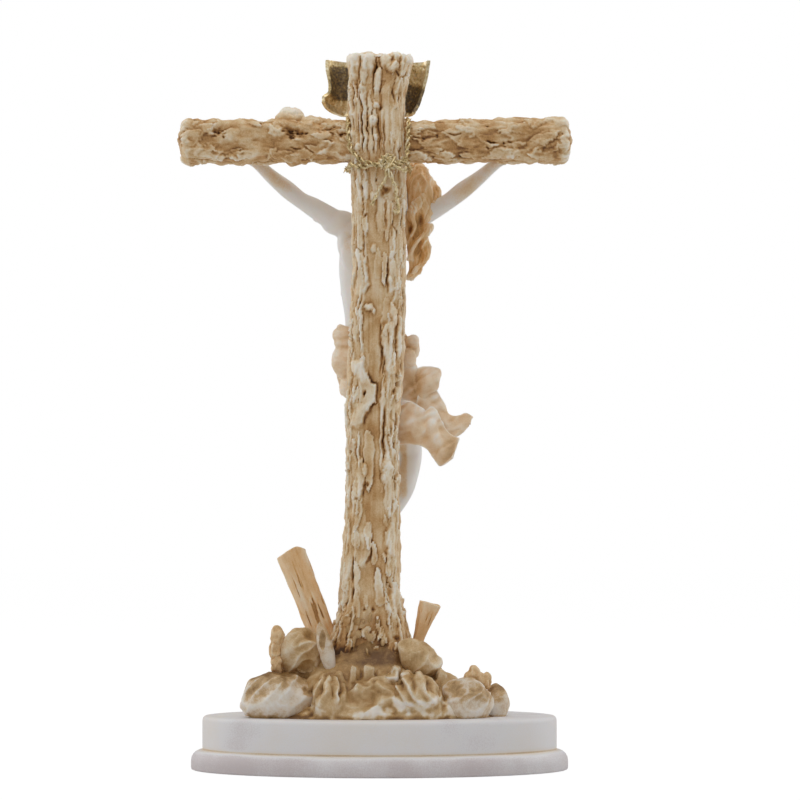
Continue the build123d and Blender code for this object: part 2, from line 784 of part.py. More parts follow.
def arm_points(side):
    """Shoulder, elbow, wrist, palm and knuckle points; side is 1 for the figure's left, -1 for its right."""
    shoulder = (figure_x + side * (chest_width / 2 - shoulder_inset), chest_y, shoulder_z)
    palm_x = left_hand_x if side > 0 else right_hand_x
    palm = (palm_x, front_y - figure_gap - hand_thickness / 2, beam_z - hand_drop)
    rise = Vector(palm[0] - shoulder[0], 0, palm[2] - shoulder[2]).normalized()
    wrist = tuple(Vector(*palm) - rise * wrist_to_palm - Vector(0, wrist_radius - hand_thickness / 2, 0))
    elbow = between(shoulder, wrist, 0.5)
    elbow = (elbow[0], elbow[1] - elbow_forward, elbow[2] - elbow_sag)
    knuckle = tuple(Vector(*palm) + rise * palm_to_knuckle)
    return shoulder, elbow, wrist, palm, knuckle, rise


def digit(root, middle, tip, radius, up):
    """Finger or thumb through three points."""
    sizes = ((root, radius), (middle, radius), (tip, finger_tip))
    return limb([(tuple(point), r, r) for point, r in sizes], side=up, sides=finger_sides, steps=1)


def make_arm(side, *neighbours):
    shoulder, elbow, wrist, palm, knuckle, rise = arm_points(side)
    up = Vector(-rise.Z * side, 0, rise.X * side)
    arm = limb([
        (shoulder, shoulder_radius, shoulder_radius),
        (between(shoulder, elbow, upper_arm_place), upper_arm_radius, upper_arm_radius),
        (elbow, elbow_radius, elbow_radius),
        (between(elbow, wrist, forearm_place), forearm_radius, forearm_radius),
        (wrist, wrist_radius, wrist_radius),
        (palm, hand_width / 2, hand_thickness / 2),
        (knuckle, knuckle_width / 2, knuckle_thickness / 2),
    ], side=up)
    curl = Vector(0, -finger_curl, 0)
    for finger in range(finger_count):
        across = (finger - (finger_count - 1) / 2) * finger_pitch
        root = Vector(*knuckle) + up * across - rise * finger_radius
        tip = root + rise * finger_length + curl
        arm = arm + digit(root, root + (tip - root - curl / 2) / 2, tip, finger_radius, up)
    root = Vector(*palm) - up * (hand_width / 2 - thumb_inset)
    tip = root + rise * thumb_length - up * finger_radius + curl
    arm = arm + digit(root, root + (tip - root) / 2, tip, thumb_radius, up)
    return scribe(biggest(arm), *neighbours)


def leg_points(side):
    """Hip, knee, ankle and toe points; the right foot lies over the left one."""
    over = foot_thickness + figure_gap if side < 0 else 0
    hip = (figure_x + side * hip_spread, hip_y, hip_z - thigh_drop)
    knee = (left_knee_x if side > 0 else right_knee_x, knee_y, beam_z - knee_drop)
    foot_y = front_y - figure_gap - foot_thickness / 2 - over
    ankle_z = beam_z - ankle_drop
    ankle = (foot_x + side * ankle_spread, foot_y - ankle_forward, ankle_z)
    toe = (foot_x + side * foot_spread, foot_y, ankle_z - foot_length)
    return hip, knee, ankle, toe


def make_leg(side, *neighbours):
    hip, knee, ankle, toe = leg_points(side)
    leg = limb([
        (hip, thigh_radius, thigh_radius),
        (between(hip, knee, 0.5), thigh_middle_radius, thigh_middle_radius),
        (knee, knee_radius, knee_radius),
        (between(knee, ankle, calf_place), calf_radius, calf_radius),
        (ankle, ankle_radius, ankle_radius),
        (between(ankle, toe, instep_place), instep_half_width, foot_thickness / 2),
        (between(ankle, toe, sole_place), sole_half_width, sole_half_thickness),
        (toe, toe_half_width, toe_half_thickness),
    ])
    return scribe(leg, *neighbours)


def in_head(shape):
    """Shape from the head's own frame, facing -Y, turned and placed on the neck."""
    return Pos(head_x, head_y, head_z) * Rotation(head_nod, -head_tilt, 0) * shape


def from_head(stations):
    """Stations whose places are given from the head's middle, in the object's frame."""
    middle = Vector(head_x, head_y, head_z)
    return [(tuple(middle + Vector(*place)), *halves) for place, *halves in stations]


def skull(extra):
    """Ball of the skull, larger all round by extra."""
    radii = (skull_width / 2 + extra, skull_depth / 2 + extra, skull_height / 2 + extra)
    return ball((0, skull_back, skull_rise), radii)


def make_head(*neighbours):
    jaw = ball((0, -jaw_forward, -jaw_drop), (jaw_width / 2, jaw_depth / 2, jaw_height / 2))
    nose = loft([
        Pos(0, -nose_forward, nose_low) * Ellipse(nose_half_width, nose_half_depth),
        Pos(0, -nose_forward, nose_high) * Ellipse(bridge_half_width, bridge_half_depth),
    ])
    face = in_head(skull(0) + jaw + nose)
    start = (neck_root[0], neck_root[1], neck_z - neck_radius)
    end = (head_x + neck_end[0], head_y + neck_end[1], head_z)
    middle = between(start, end, 0.5)
    neck = limb([(point, neck_radius, neck_radius) for point in (start, middle, end)])
    return scribe(biggest(face + neck), *neighbours)


def make_hair(*neighbours):
    opening = Pos(0, -face_forward, -face_drop) * Box(face_width, face_depth, face_height)
    cap = in_head(skull(hair_thickness) - opening)
    return scribe(biggest(cap + limb(from_head(back_lock)) + limb(from_head(side_lock))), *neighbours)


def make_beard(*neighbours):
    return scribe(in_head(ball((0, -beard_forward, -beard_drop), beard_radii)), *neighbours)


def make_crown(*neighbours):
    across = skull_width / 2 + hair_thickness
    along = skull_depth / 2 + hair_thickness
    angles = [2 * math.pi * i / crown_sides for i in range(crown_sides)]
    corners = [(across * math.cos(a), along * math.sin(a) + skull_back, crown_rise) for a in angles]
    path = Polyline(*corners, close=True)
    start = Plane(origin=path @ 0, z_dir=path % 0)
    ring = sweep(start * RegularPolygon(crown_thickness, 6), path=path, transition=Transition.RIGHT)
    ring = ring - skull(hair_thickness)
    for i in range(crown_thorns):
        angle = 2 * math.pi * i / crown_thorns
        slope = thorn_tilt * math.sin(thorn_waves * angle)
        aim = Vector(math.cos(angle), math.sin(angle), slope).normalized()
        root = Vector(across * math.cos(angle), along * math.sin(angle) + skull_back, crown_rise)
        base = Plane(origin=root + aim * (crown_thickness / 2), z_dir=aim)
        thorn = [base * Rectangle(crown_thickness, crown_thickness),
                 base.offset(thorn_length) * Rectangle(thorn_tip, thorn_tip)]
        ring = ring + loft(thorn, ruled=True)
    return scribe(in_head(biggest(ring)), *neighbours)


# Loincloth
def make_loincloth(*neighbours):
    sections = []
    for share in cloth_levels:
        z = beam_z - between(cloth_bottom_drop, cloth_top_drop, share)
        swell = cloth_hem + cloth_swell * math.sin(math.pi * share)
        ring = []
        for i in range(cloth_sides):
            angle = 2 * math.pi * i / cloth_sides
            out = swell + cloth_fold_depth * math.sin(cloth_folds * angle + cloth_fold_drift * share)
            ring.append(((hip_width / 2 + out) * math.cos(angle), (hip_depth / 2 + out) * math.sin(angle)))
        tilt = Rotation(0, cloth_hem_tilt * (1 - share), 0)
        sections.append(Pos(figure_x, hip_y, z) * tilt * Polygon(*ring, align=None))
    wrap = loft(sections, ruled=True)
    knot_z = beam_z - cloth_top_drop - cloth_knot_radii[2]
    knot_at = (figure_x - hip_width / 2 - cloth_knot_out, hip_y, knot_z)
    return scribe(biggest(wrap + ball(knot_at, cloth_knot_radii)), *neighbours)


def make_cloth_tail(stations, *neighbours):
    """Flying end of the cloth through its stations."""
    sized = [((x, y, beam_z - drop), *halves) for x, y, drop, *halves in stations]
    return scribe(limb(sized, side=(0, 0, 1)), *neighbours)


# Nails and dowels
def nail(point, grip):
    """Square nail along Y through point, with its head before the flesh and its shank in the wood."""
    x, y, z = point
    start = y - grip
    face = Plane(origin=(x, start, z), x_dir=(1, 0, 0), z_dir=(0, 1, 0))
    shank = extrude(face * Rectangle(nail_width, nail_width), front_y + nail_bite - start)
    head = extrude(face * RegularPolygon(nail_head_diameter / 2, nail_head_sides), -nail_head_height)
    return head + shank


def peg(middle, aim, diameter, length):
    """Hidden dowel centred on a joint."""
    aim = Vector(*aim).normalized() * (length / 2)
    return rod(tuple(Vector(*middle) - aim), tuple(Vector(*middle) + aim), diameter)


# Assembly: each piece is cut to fit those made before it
screw = make_base_screw()
post = make_post(screw)
beam = make_beam(post)
lap_dowel = make_lap_dowel()
scroll = make_scroll(post, beam)
scroll_pins = make_scroll_pins()
lashing = [lashing_strand(1, 0), lashing_strand(-1, 1)]
knot = make_knot()
stake_left = timber(
    stake_foot, stake_lean, stake_roll, stake_width, stake_depth, stake_length, stake_taper, stake_cut)
stake_right = timber(peg_foot, -peg_lean, peg_roll, peg_width, peg_depth, peg_length, peg_taper, -peg_cut)
planted = [post, scribe(stake_left, post), scribe(stake_right, post)]
hollow = ball(on_plinth(ledge_hollow), ledge_hollow_radii)
set_stones = {}
for group_number, (name, group) in enumerate({**stones, **pebbles}.items()):
    sides = pebble_sides if name in pebbles else stone_sides
    set_stones[name] = []
    for number, (centre, radii) in enumerate(group):
        others = [s for stone_group in set_stones.values() for s in stone_group]
        loose = stone(centre, radii, sides, group_number + number)
        set_stones[name].append(scribe(loose, hollow, *planted, *others))
all_stones = [s for stone_group in set_stones.values() for s in stone_group]
torso = make_torso(post, beam)
left_arm = make_arm(1, torso, post, beam)
right_arm = make_arm(-1, torso, post, beam)
left_leg = make_leg(1, torso, post)
right_leg = make_leg(-1, torso, post, left_leg)
mound = make_mound(hollow, *planted, *all_stones, left_leg, right_leg)
head = make_head(torso, left_arm, right_arm, post, beam)
beard = make_beard(head, torso)
hair = make_hair(head, beard, torso, left_arm, right_arm, post, beam, *lashing)
crown = make_crown(head, beam)
loincloth = make_loincloth(torso, left_leg, right_leg, post)
cloth_tail_upper = make_cloth_tail(tail_upper, loincloth, post, torso, right_leg)
cloth_tail_lower = make_cloth_tail(tail_lower, loincloth, cloth_tail_upper, post, torso, right_leg)
arm_dowels = []
for side in (1, -1):
    shoulder, *_, rise = arm_points(side)
    middle = tuple(Vector(*shoulder) + rise * arm_dowel_place)
    arm_dowels.append(peg(middle, rise, arm_dowel_diameter, arm_dowel_length))
neck_dowel = peg(neck_root, neck_dowel_aim, arm_dowel_diameter, arm_dowel_length)
back_dowel_middle = (figure_x, front_y, beam_z - back_dowel_drop)
back_dowel = peg(back_dowel_middle, (0, 1, 0), back_dowel_diameter, back_dowel_length)
hand_nails = [nail(arm_points(side)[3], hand_thickness / 2) for side in (1, -1)]
right_ankle, right_toe = leg_points(-1)[2:]
foot_nail = nail(between(right_ankle, right_toe, 0.5), foot_thickness / 2)

parts = {
    "plinth": make_plinth(),
    "felt_pad": make_felt(),
    "base_screw": screw,
    "base_washer": make_base_washer(),
    "rock_mound": mound,
    "stake_left": planted[1],
    "stake_right": planted[2],
    "post": scribe(post, lap_dowel, back_dowel, foot_nail, *scroll_pins),
    "crossbeam": scribe(beam, lap_dowel, *hand_nails),
    "lap_dowel": lap_dowel,
    "scroll": scribe(scroll, *scroll_pins),
    "scroll_pins": scroll_pins,
    "lashing_loops": lashing,
    "lashing_knot": knot,
    "torso": scribe(torso, back_dowel, neck_dowel, *arm_dowels),
    "left_arm": scribe(left_arm, arm_dowels[0], hand_nails[0]),
    "right_arm": scribe(right_arm, arm_dowels[1], hand_nails[1]),
    "left_leg": scribe(left_leg, foot_nail),
    "right_leg": scribe(right_leg, foot_nail),
    "head": scribe(head, neck_dowel),
    "hair": hair,
    "beard": beard,
    "crown_of_thorns": crown,
    "loincloth": loincloth,
    "cloth_tail_upper": cloth_tail_upper,
    "cloth_tail_lower": cloth_tail_lower,
    "arm_dowels": arm_dowels,
    "neck_dowel": neck_dowel,
    "back_dowel": back_dowel,
    "hand_nails": hand_nails,
    "foot_nail": foot_nail,
    **set_stones,
}

os.makedirs("parts", exist_ok=True)
for name, shape in parts.items():
    solids = shape if isinstance(shape, list) else [shape]
    export_step(Compound(children=solids) if len(solids) > 1 else solids[0], f"parts/{name}.step")
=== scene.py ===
import math
import random

import bpy
import numpy as np
from mathutils import Matrix, Vector, noise


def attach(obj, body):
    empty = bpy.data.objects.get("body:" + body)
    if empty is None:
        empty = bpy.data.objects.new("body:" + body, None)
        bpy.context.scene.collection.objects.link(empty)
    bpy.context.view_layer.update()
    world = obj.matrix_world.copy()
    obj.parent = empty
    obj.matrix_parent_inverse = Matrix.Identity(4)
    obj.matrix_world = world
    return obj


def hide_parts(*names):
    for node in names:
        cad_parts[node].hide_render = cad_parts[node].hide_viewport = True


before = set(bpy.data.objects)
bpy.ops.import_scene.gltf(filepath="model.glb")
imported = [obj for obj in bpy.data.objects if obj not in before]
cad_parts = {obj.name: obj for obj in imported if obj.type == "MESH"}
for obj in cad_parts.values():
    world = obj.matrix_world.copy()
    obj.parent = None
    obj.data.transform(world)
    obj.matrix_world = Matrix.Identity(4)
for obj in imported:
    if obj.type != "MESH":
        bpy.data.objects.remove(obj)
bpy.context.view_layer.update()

mm = 0.001
scene = bpy.context.scene
print("frame loaded, nodes:", len(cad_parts))


# small helpers, used by every piece

def hexColor(code):
    channels = [int(code[i:i + 2], 16) / 255 for i in (0, 2, 4)]
    return [c / 12.92 if c <= 0.04045 else ((c + 0.055) / 1.055) ** 2.4 for c in channels] + [1.0]


def addNode(tree, kind, settings=None, links=None):
    node = tree.nodes.new("ShaderNode" + kind)
    for key, value in (settings or {}).items():
        if isinstance(key, str) and key not in node.inputs:
            setattr(node, key, value)
        else:
            node.inputs[key].default_value = value
    for key, source in (links or {}).items():
        tree.links.new(source, node.inputs[key])
    return node


def newMaterial(name):
    material = bpy.data.materials.new(name)
    material.use_nodes = True
    return material, material.node_tree, material.node_tree.nodes["Principled BSDF"]


def setRamp(node, stops):
    ramp = node.color_ramp
    while len(ramp.elements) > 1:
        ramp.elements.remove(ramp.elements[-1])
    ramp.elements[0].position, ramp.elements[0].color = stops[0][0], hexColor(stops[0][1])
    for place, code in stops[1:]:
        ramp.elements.new(place).color = hexColor(code)


def makeObject(name, points, faces):  # points in mm
    mesh = bpy.data.meshes.new(name)
    mesh.from_pydata([tuple(p) for p in np.asarray(points) * mm], [], faces)
    mesh.validate()
    mesh.update()
    piece = bpy.data.objects.new(name, mesh)
    scene.collection.objects.link(piece)
    return piece


def pickOnly(piece):
    bpy.ops.object.select_all(action="DESELECT")
    piece.select_set(True)
    bpy.context.view_layer.objects.active = piece


def useModifier(piece, kind, **settings):
    pickOnly(piece)
    modifier = piece.modifiers.new(kind, kind)
    for key, value in settings.items():
        setattr(modifier, key, value)
    bpy.ops.object.modifier_apply(modifier=modifier.name)


def tidyNormals(piece):
    pickOnly(piece)
    bpy.ops.object.mode_set(mode="EDIT")
    bpy.ops.mesh.select_all(action="SELECT")
    bpy.ops.mesh.normals_make_consistent(inside=False)
    bpy.ops.object.mode_set(mode="OBJECT")


def pointsOf(piece):  # in mm
    points = np.empty(len(piece.data.vertices) * 3)
    piece.data.vertices.foreach_get("co", points)
    return points.reshape(-1, 3) / mm


def movePoints(piece, points):
    piece.data.vertices.foreach_set("co", (np.asarray(points) * mm).ravel())
    piece.data.update()


def normalsOf(piece):
    normals = np.empty(len(piece.data.vertices) * 3, np.float32)
    piece.data.vertex_normals.foreach_get("vector", normals)
    return normals.reshape(-1, 3).astype(float)


def relaxed(piece, points, passes):  # points after some rounds of averaging with their neighbours
    edges = np.empty(len(piece.data.edges) * 2, np.int32)
    piece.data.edges.foreach_get("vertices", edges)
    a, b = edges.reshape(-1, 2).T
    count = np.bincount(np.concatenate([a, b]), minlength=len(points)).clip(1)[:, None]
    for _ in range(passes):
        total = np.empty_like(points)
        for axis in range(points.shape[1]):
            total[:, axis] = (np.bincount(a, points[b, axis], len(points))
                              + np.bincount(b, points[a, axis], len(points)))
        points = points * 0.5 + total / count * 0.5
    return points


def setWash(piece, wash):
    layer = piece.data.attributes.new("wash", "FLOAT", "POINT")
    layer.data.foreach_set("value", np.clip(wash, 0, 1).astype(np.float32))


def storeWash(piece, fine, wide, extra=0.0):
    # 0 on what stands out, 1 deep in the hollows; fine and wide are (rounds of averaging, depth in mm); extra
    # is added as given, on some pieces painted light and shade
    points = pointsOf(piece)
    normals = normalsOf(piece)
    wash = 0.5 + extra
    for rounds, depth in (fine, wide):
        sunk = ((relaxed(piece, points, rounds) - points) * normals).sum(1) / depth
        wash = wash + 0.27 * np.clip(sunk, -1.4, 1.4)
    setWash(piece, wash)


def noiseAt(points, size, seed=0.0, octaves=3):  # soft noise of about -1 to 1 at points in mm
    scaled = np.asarray(points) / np.asarray(size) + seed * 7.31
    return np.array([noise.fractal(Vector(p), 1.0, 2.0, octaves) for p in scaled])


def smoothStep(low, high, value):
    t = np.clip((value - low) / (high - low), 0, 1)
    return t * t * (3 - 2 * t)


def ringMesh(name, rings):  # closed tube through rings of points, both ends capped
    rings = np.asarray(rings, float)
    count, sides = rings.shape[:2]
    points = list(rings.reshape(-1, 3))
    faces = []
    for i in range(count - 1):
        for k in range(sides):
            n = (k + 1) % sides
            faces.append((i * sides + k, i * sides + n, (i + 1) * sides + n, (i + 1) * sides + k))
    for row, flip in ((0, True), (count - 1, False)):
        points.append(rings[row].mean(0))
        tip = len(points) - 1
        for k in range(sides):
            a, b = row * sides + k, row * sides + (k + 1) % sides
            faces.append((b, a, tip) if flip else (a, b, tip))
    return makeObject(name, points, faces)


def curveThrough(rows, steps):  # rows of numbers, with more put between them along smooth curves
    rows = np.asarray(rows, float)
    padded = np.vstack([2 * rows[0] - rows[1], rows, 2 * rows[-1] - rows[-2]])
    result = []
    for i in range(1, len(padded) - 2):
        p, a, b, n = padded[i - 1:i + 3]
        for t in np.linspace(0, 1, steps, endpoint=False):
            result.append(0.5 * (2 * a + (b - p) * t + (2 * p - 5 * a + 4 * b - n) * t * t
                                 + (3 * a - p - 3 * b + n) * t ** 3))
    return np.array(result + [rows[-1]])


def limbRings(stations, side=(1, 0, 0), sides=16, steps=5):
    # ovals along a smooth line; a station is x, y, z, half width along side and half depth
    rows = curveThrough(stations, steps)
    aim = np.gradient(rows[:, :3], axis=0)
    aim /= np.linalg.norm(aim, axis=1)[:, None]
    across = np.asarray(side, float) - aim * (aim @ np.asarray(side, float))[:, None]
    across /= np.linalg.norm(across, axis=1)[:, None]
    deep = np.cross(aim, across)
    angles = np.linspace(0, 2 * math.pi, sides, endpoint=False)
    rings = []

    def ring(i, scale, shift):
        centre = rows[i, :3] + aim[i] * shift
        return (centre + scale * rows[i, 3] * np.cos(angles)[:, None] * across[i]
                + scale * rows[i, 4] * np.sin(angles)[:, None] * deep[i])

    for turn in (75, 50, 25):
        rings.append(ring(0, math.cos(math.radians(turn)), -min(rows[0, 3:5]) * math.sin(math.radians(turn))))
    rings += [ring(i, 1, 0) for i in range(len(rows))]
    for turn in (25, 50, 75):
        rings.append(ring(-1, math.cos(math.radians(turn)),
                          min(rows[-1, 3:5]) * math.sin(math.radians(turn))))
    return rings


def limb(stations, side=(1, 0, 0), sides=16, steps=5):
    return ringMesh("limb", limbRings(stations, side, sides, steps))


def strand(points, radius, tip=None, sides=8, steps=5):  # round cord through points, thinning to its tip
    radii = np.linspace(radius, radius if tip is None else tip, len(points))
    path = np.asarray(points, float)
    run = path[-1] - path[0]
    side = (1, 0, 0) if abs(run[0]) < 0.7 * np.linalg.norm(run) else (0, 0, 1)
    return limb([(*p, r, r) for p, r in zip(path, radii)], side, sides, steps)


def lump(centre, radii, detail=3, turn=None):
    bpy.ops.object.select_all(action="DESELECT")
    bpy.ops.mesh.primitive_ico_sphere_add(subdivisions=detail, radius=1.0)
    piece = bpy.context.active_object
    points = pointsOf(piece) * mm * np.asarray(radii, float)
    if turn is not None:
        points = points @ np.array(turn.to_3x3()).T
    movePoints(piece, points + np.asarray(centre, float))
    return piece


def joinPieces(name, pieces):
    bpy.ops.object.select_all(action="DESELECT")
    for piece in pieces:
        piece.select_set(True)
    bpy.context.view_layer.objects.active = pieces[0]
    if len(pieces) > 1:
        bpy.ops.object.join()
    joined = bpy.context.view_layer.objects.active
    joined.name = name
    joined.data.name = name
    return joined


def moulded(name, pieces, voxel, rounds):  # lumps and limbs run together like clay
    piece = joinPieces(name, pieces)
    useModifier(piece, "REMESH", mode="VOXEL", voxel_size=voxel * mm)
    if rounds:
        useModifier(piece, "SMOOTH", factor=0.5, iterations=rounds)
    return piece


def dress(piece, material, slot, *nodes, smoothAngle=70):
    piece.data.materials.clear()
    piece.data.materials.append(material)
    pickOnly(piece)
    bpy.ops.object.shade_smooth_by_angle(angle=math.radians(smoothAngle))
    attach(piece, "root")
    if nodes:
        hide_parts(*nodes)


# materials

def washedResin(name, stops, grain=0.5, rough=0.6, glow=0.1, blotch=9.0, relief=0.12):
    # cast marble-dust resin with a wash left in its hollows: matte, chalky, paler where it was wiped off; on
    # the post foot, rock, stones, plinth and figure the wash also carries painted light and shade
    material, tree, shader = newMaterial(name)
    place = addNode(tree, "TexCoord")
    wash = addNode(tree, "Attribute", {"attribute_name": "wash"})
    patches = addNode(tree, "TexNoise", {"Scale": 1 / (blotch * mm), "Detail": 4.0},
                      {"Vector": place.outputs["Object"]})
    speck = addNode(tree, "TexNoise", {"Scale": 1 / (grain * mm), "Detail": 2.0},
                    {"Vector": place.outputs["Object"]})
    shifted = addNode(tree, "MapRange", {"From Min": 0.3, "From Max": 0.7, "To Min": -0.14, "To Max": 0.14},
                      {"Value": patches.outputs["Fac"]})
    dusty = addNode(tree, "MapRange", {"From Min": 0.3, "From Max": 0.7, "To Min": -0.05, "To Max": 0.05},
                    {"Value": speck.outputs["Fac"]})
    summed = addNode(tree, "Math", {"operation": "ADD"},
                     {0: wash.outputs["Fac"], 1: shifted.outputs["Result"]})
    total = addNode(tree, "Math", {"operation": "ADD"}, {0: summed.outputs[0], 1: dusty.outputs["Result"]})
    ramp = addNode(tree, "ValToRGB", links={"Fac": total.outputs[0]})
    setRamp(ramp, stops)
    bump = addNode(tree, "Bump", {"Strength": relief, "Distance": 0.3 * mm}, {"Height": speck.outputs["Fac"]})
    tree.links.new(ramp.outputs["Color"], shader.inputs["Base Color"])
    tree.links.new(bump.outputs["Normal"], shader.inputs["Normal"])
    shader.inputs["Roughness"].default_value = rough
    shader.inputs["Subsurface Weight"].default_value = glow
    shader.inputs["Subsurface Radius"].default_value = (1.0, 0.62, 0.4)
    shader.inputs["Subsurface Scale"].default_value = 1.6 * mm
    return material


def gildedMetal(name, stops, rough):
    # thin gilding over dark bole, worn bright on the edges
    material, tree, shader = newMaterial(name)
    place = addNode(tree, "TexCoord")
    wash = addNode(tree, "Attribute", {"attribute_name": "wash"})
    flecks = addNode(tree, "TexNoise", {"Scale": 1 / (0.9 * mm), "Detail": 4.0},
                     {"Vector": place.outputs["Object"]})
    shifted = addNode(tree, "MapRange", {"From Min": 0.3, "From Max": 0.7, "To Min": -0.2, "To Max": 0.2},
                      {"Value": flecks.outputs["Fac"]})
    total = addNode(tree, "Math", {"operation": "ADD"},
                    {0: wash.outputs["Fac"], 1: shifted.outputs["Result"]})
    ramp = addNode(tree, "ValToRGB", links={"Fac": total.outputs[0]})
    setRamp(ramp, stops)
    bare = addNode(tree, "MapRange", {"From Min": 0.6, "From Max": 0.85, "To Min": 0.72, "To Max": 0.2},
                   {"Value": total.outputs[0]})
    bump = addNode(tree, "Bump", {"Strength": 0.35, "Distance": 0.3 * mm}, {"Height": flecks.outputs["Fac"]})
    tree.links.new(ramp.outputs["Color"], shader.inputs["Base Color"])
    tree.links.new(bare.outputs["Result"], shader.inputs["Metallic"])
    tree.links.new(bump.outputs["Normal"], shader.inputs["Normal"])
    shader.inputs["Roughness"].default_value = rough
    return material


def plainMaterial(name, code, rough, metal=0.0, grain=0.5, relief=0.05):
    material, tree, shader = newMaterial(name)
    place = addNode(tree, "TexCoord")
    speck = addNode(tree, "TexNoise", {"Scale": 1 / (grain * mm), "Detail": 3.0},
                    {"Vector": place.outputs["Object"]})
    bump = addNode(tree, "Bump", {"Strength": relief, "Distance": 0.2 * mm}, {"Height": speck.outputs["Fac"]})
    tree.links.new(bump.outputs["Normal"], shader.inputs["Normal"])
    shader.inputs["Base Color"].default_value = hexColor(code)
    shader.inputs["Roughness"].default_value = rough
    shader.inputs["Metallic"].default_value = metal
    return material


barkResin = washedResin("castBarkTanWash", [
    (0.10, "fbf2e2"), (0.27, "f1dfc1"), (0.45, "dfbf91"), (0.60, "c5965c"), (0.76, "936636"),
    (0.95, "55361a")])
rockResin = washedResin("castRockTanWash", [
    (0.14, "f3ece1"), (0.32, "e9d9be"), (0.50, "d3b588"), (0.70, "b38c57"), (0.95, "73502a")])
pebbleResin = washedResin("castPebbleTanWash", [
    (0.12, "f6e6cc"), (0.36, "e8c799"), (0.58, "c99e66"), (0.92, "7d5830")])
stoneResin = washedResin("castPaleStone", [
    (0.26, "efeae3"), (0.48, "e5d8c5"), (0.66, "c9a87b"), (0.95, "84602f")])
timberResin = washedResin("castTimberOrangeWash", [
    (0.12, "f8e8cd"), (0.38, "edc796"), (0.60, "dba868"), (0.92, "91612e")], relief=0.08)
skinResin = washedResin("castWhiteFigure", [
    (0.35, "f4f1ed"), (0.60, "efe8df"), (0.76, "e3c9a4"), (0.97, "c4965c")],
    rough=0.5, glow=0.22, blotch=16.0, relief=0.03)
clothResin = washedResin("castClothTanWash", [
    (0.12, "fbf4ea"), (0.38, "f2dcbf"), (0.60, "e2c094"), (0.92, "aa7a45")], relief=0.08)
hairResin = washedResin("castHairBrownWash", [
    (0.12, "fdf1dc"), (0.38, "f2cf9e"), (0.62, "d9a866"), (0.92, "8c5c2a")], relief=0.08)
thornResin = washedResin("castThornBrownWash", [(0.12, "d6b98c"), (0.45, "9a7141"), (0.9, "573819")])
scrollGilt = gildedMetal("gildedScroll", [
    (0.05, "fffae6"), (0.30, "f3e1b6"), (0.52, "d4bb84"), (0.70, "95805c"), (0.95, "5e5243")], 0.42)
wireGilt = gildedMetal("gildedWire", [
    (0.05, "fdf4da"), (0.40, "e6cf9b"), (0.70, "a0854f"), (0.95, "4a3b22")], 0.4)
ironDark = plainMaterial("forgedIron", "3b3431", 0.5, 0.8)
feltGreen = plainMaterial("pressedFelt", "4a4d45", 0.95, grain=0.3, relief=0.6)
print("materials ready")


# cross: bark-covered post and beam, with flakes, strips and pits laid on the unrolled log

def softBox(sides, halfA, halfB, power):  # rounded rectangle, its points evenly spaced
    angles = np.linspace(0, 2 * math.pi, 4001)
    c, s = np.cos(angles), np.sin(angles)
    line = np.column_stack([halfA * np.sign(c) * np.abs(c) ** power, halfB * np.sign(s) * np.abs(s) ** power])
    run = np.concatenate([[0], np.cumsum(np.linalg.norm(np.diff(line, axis=0), axis=1))])
    places = np.linspace(0, run[-1], sides, endpoint=False)
    return np.column_stack([np.interp(places, run, line[:, 0]), np.interp(places, run, line[:, 1])])


def unrolled(outline):  # distance along the outline to each of its points, and all the way round
    steps = np.linalg.norm(np.roll(outline, -1, 0) - outline, axis=1)
    return np.concatenate([[0], np.cumsum(steps)[:-1]]), steps.sum()


def raggedLog(outline, along, drift):
    # the unrolled log: heights, and each point's place round and along it, drifting so that no edge is clean
    around, span = unrolled(outline)
    log = {"height": np.zeros((len(along), len(around))), "along": along, "span": span, "around": around}
    log["u"], log["v"] = np.tile(around, (len(along), 1)), np.tile(along[:, None], (1, len(around)))
    apart = Vector((31.7, 12.3, 57.1))  # to another part of the noise
    for i, place in enumerate(along):
        for k, (a, b) in enumerate(outline):
            wide, fine = Vector((a / 2.6, b / 2.6, place / 4.2)), Vector((a / 0.9, b / 0.9, place / 1.4 + 40))
            log["u"][i, k] += drift * (0.9 * noise.noise(wide) + 0.4 * noise.noise(fine))
            log["v"][i, k] += drift * (1.9 * noise.noise(wide + apart) + 0.8 * noise.noise(fine + apart))
    return log


def partOf(log, low, high):  # the rows from low to high: heights, places along and round
    rows = np.where((log["along"] > low - 3) & (log["along"] < high + 3))[0]
    block = slice(rows[0], rows[-1] + 1) if len(rows) else slice(0, 0)
    return block, log["height"][block], log["v"][block], log["u"][block]


def fromPlace(log, u, middle):  # distance round the log from a place on it
    return (u - middle + log["span"] / 2) % log["span"] - log["span"] / 2


def layFlake(log, middle, place, halfWide, halfLong, lean, tip, lift, root=0.25):
    # a flake grows out of the log at its root and stands off it at its ragged tip and edges
    block, under, v, u = partOf(log, place - halfLong, place + halfLong)
    t = (v - place) / halfLong
    edge = halfWide * np.sqrt(np.clip(1 - np.abs(t) ** 2.6, 0, 1)) * (1 - 0.3 * tip * t)
    share = np.abs(fromPlace(log, u, middle) - lean * halfLong * t) / np.maximum(edge, 0.05)
    body = lift * (root + (1 - root) * smoothStep(0, 0.9, (tip * t + 1) / 2))
    body = body * (0.85 + 0.25 * share ** 2) * (1 - smoothStep(0.86, 1.0, share))
    inside = (share < 1) & (np.abs(t) < 1)
    log["height"][block] = np.where(inside, np.maximum(under, 0.5 * under + body), under)


def cutPit(log, middle, place, halfWide, halfLong, depth):
    block, _, v, u = partOf(log, place - 2.2 * halfLong, place + 2.2 * halfLong)
    away = ((v - place) / halfLong) ** 2 + (fromPlace(log, u, middle) / halfWide) ** 2
    log["height"][block] -= depth * np.exp(-away ** 1.5)


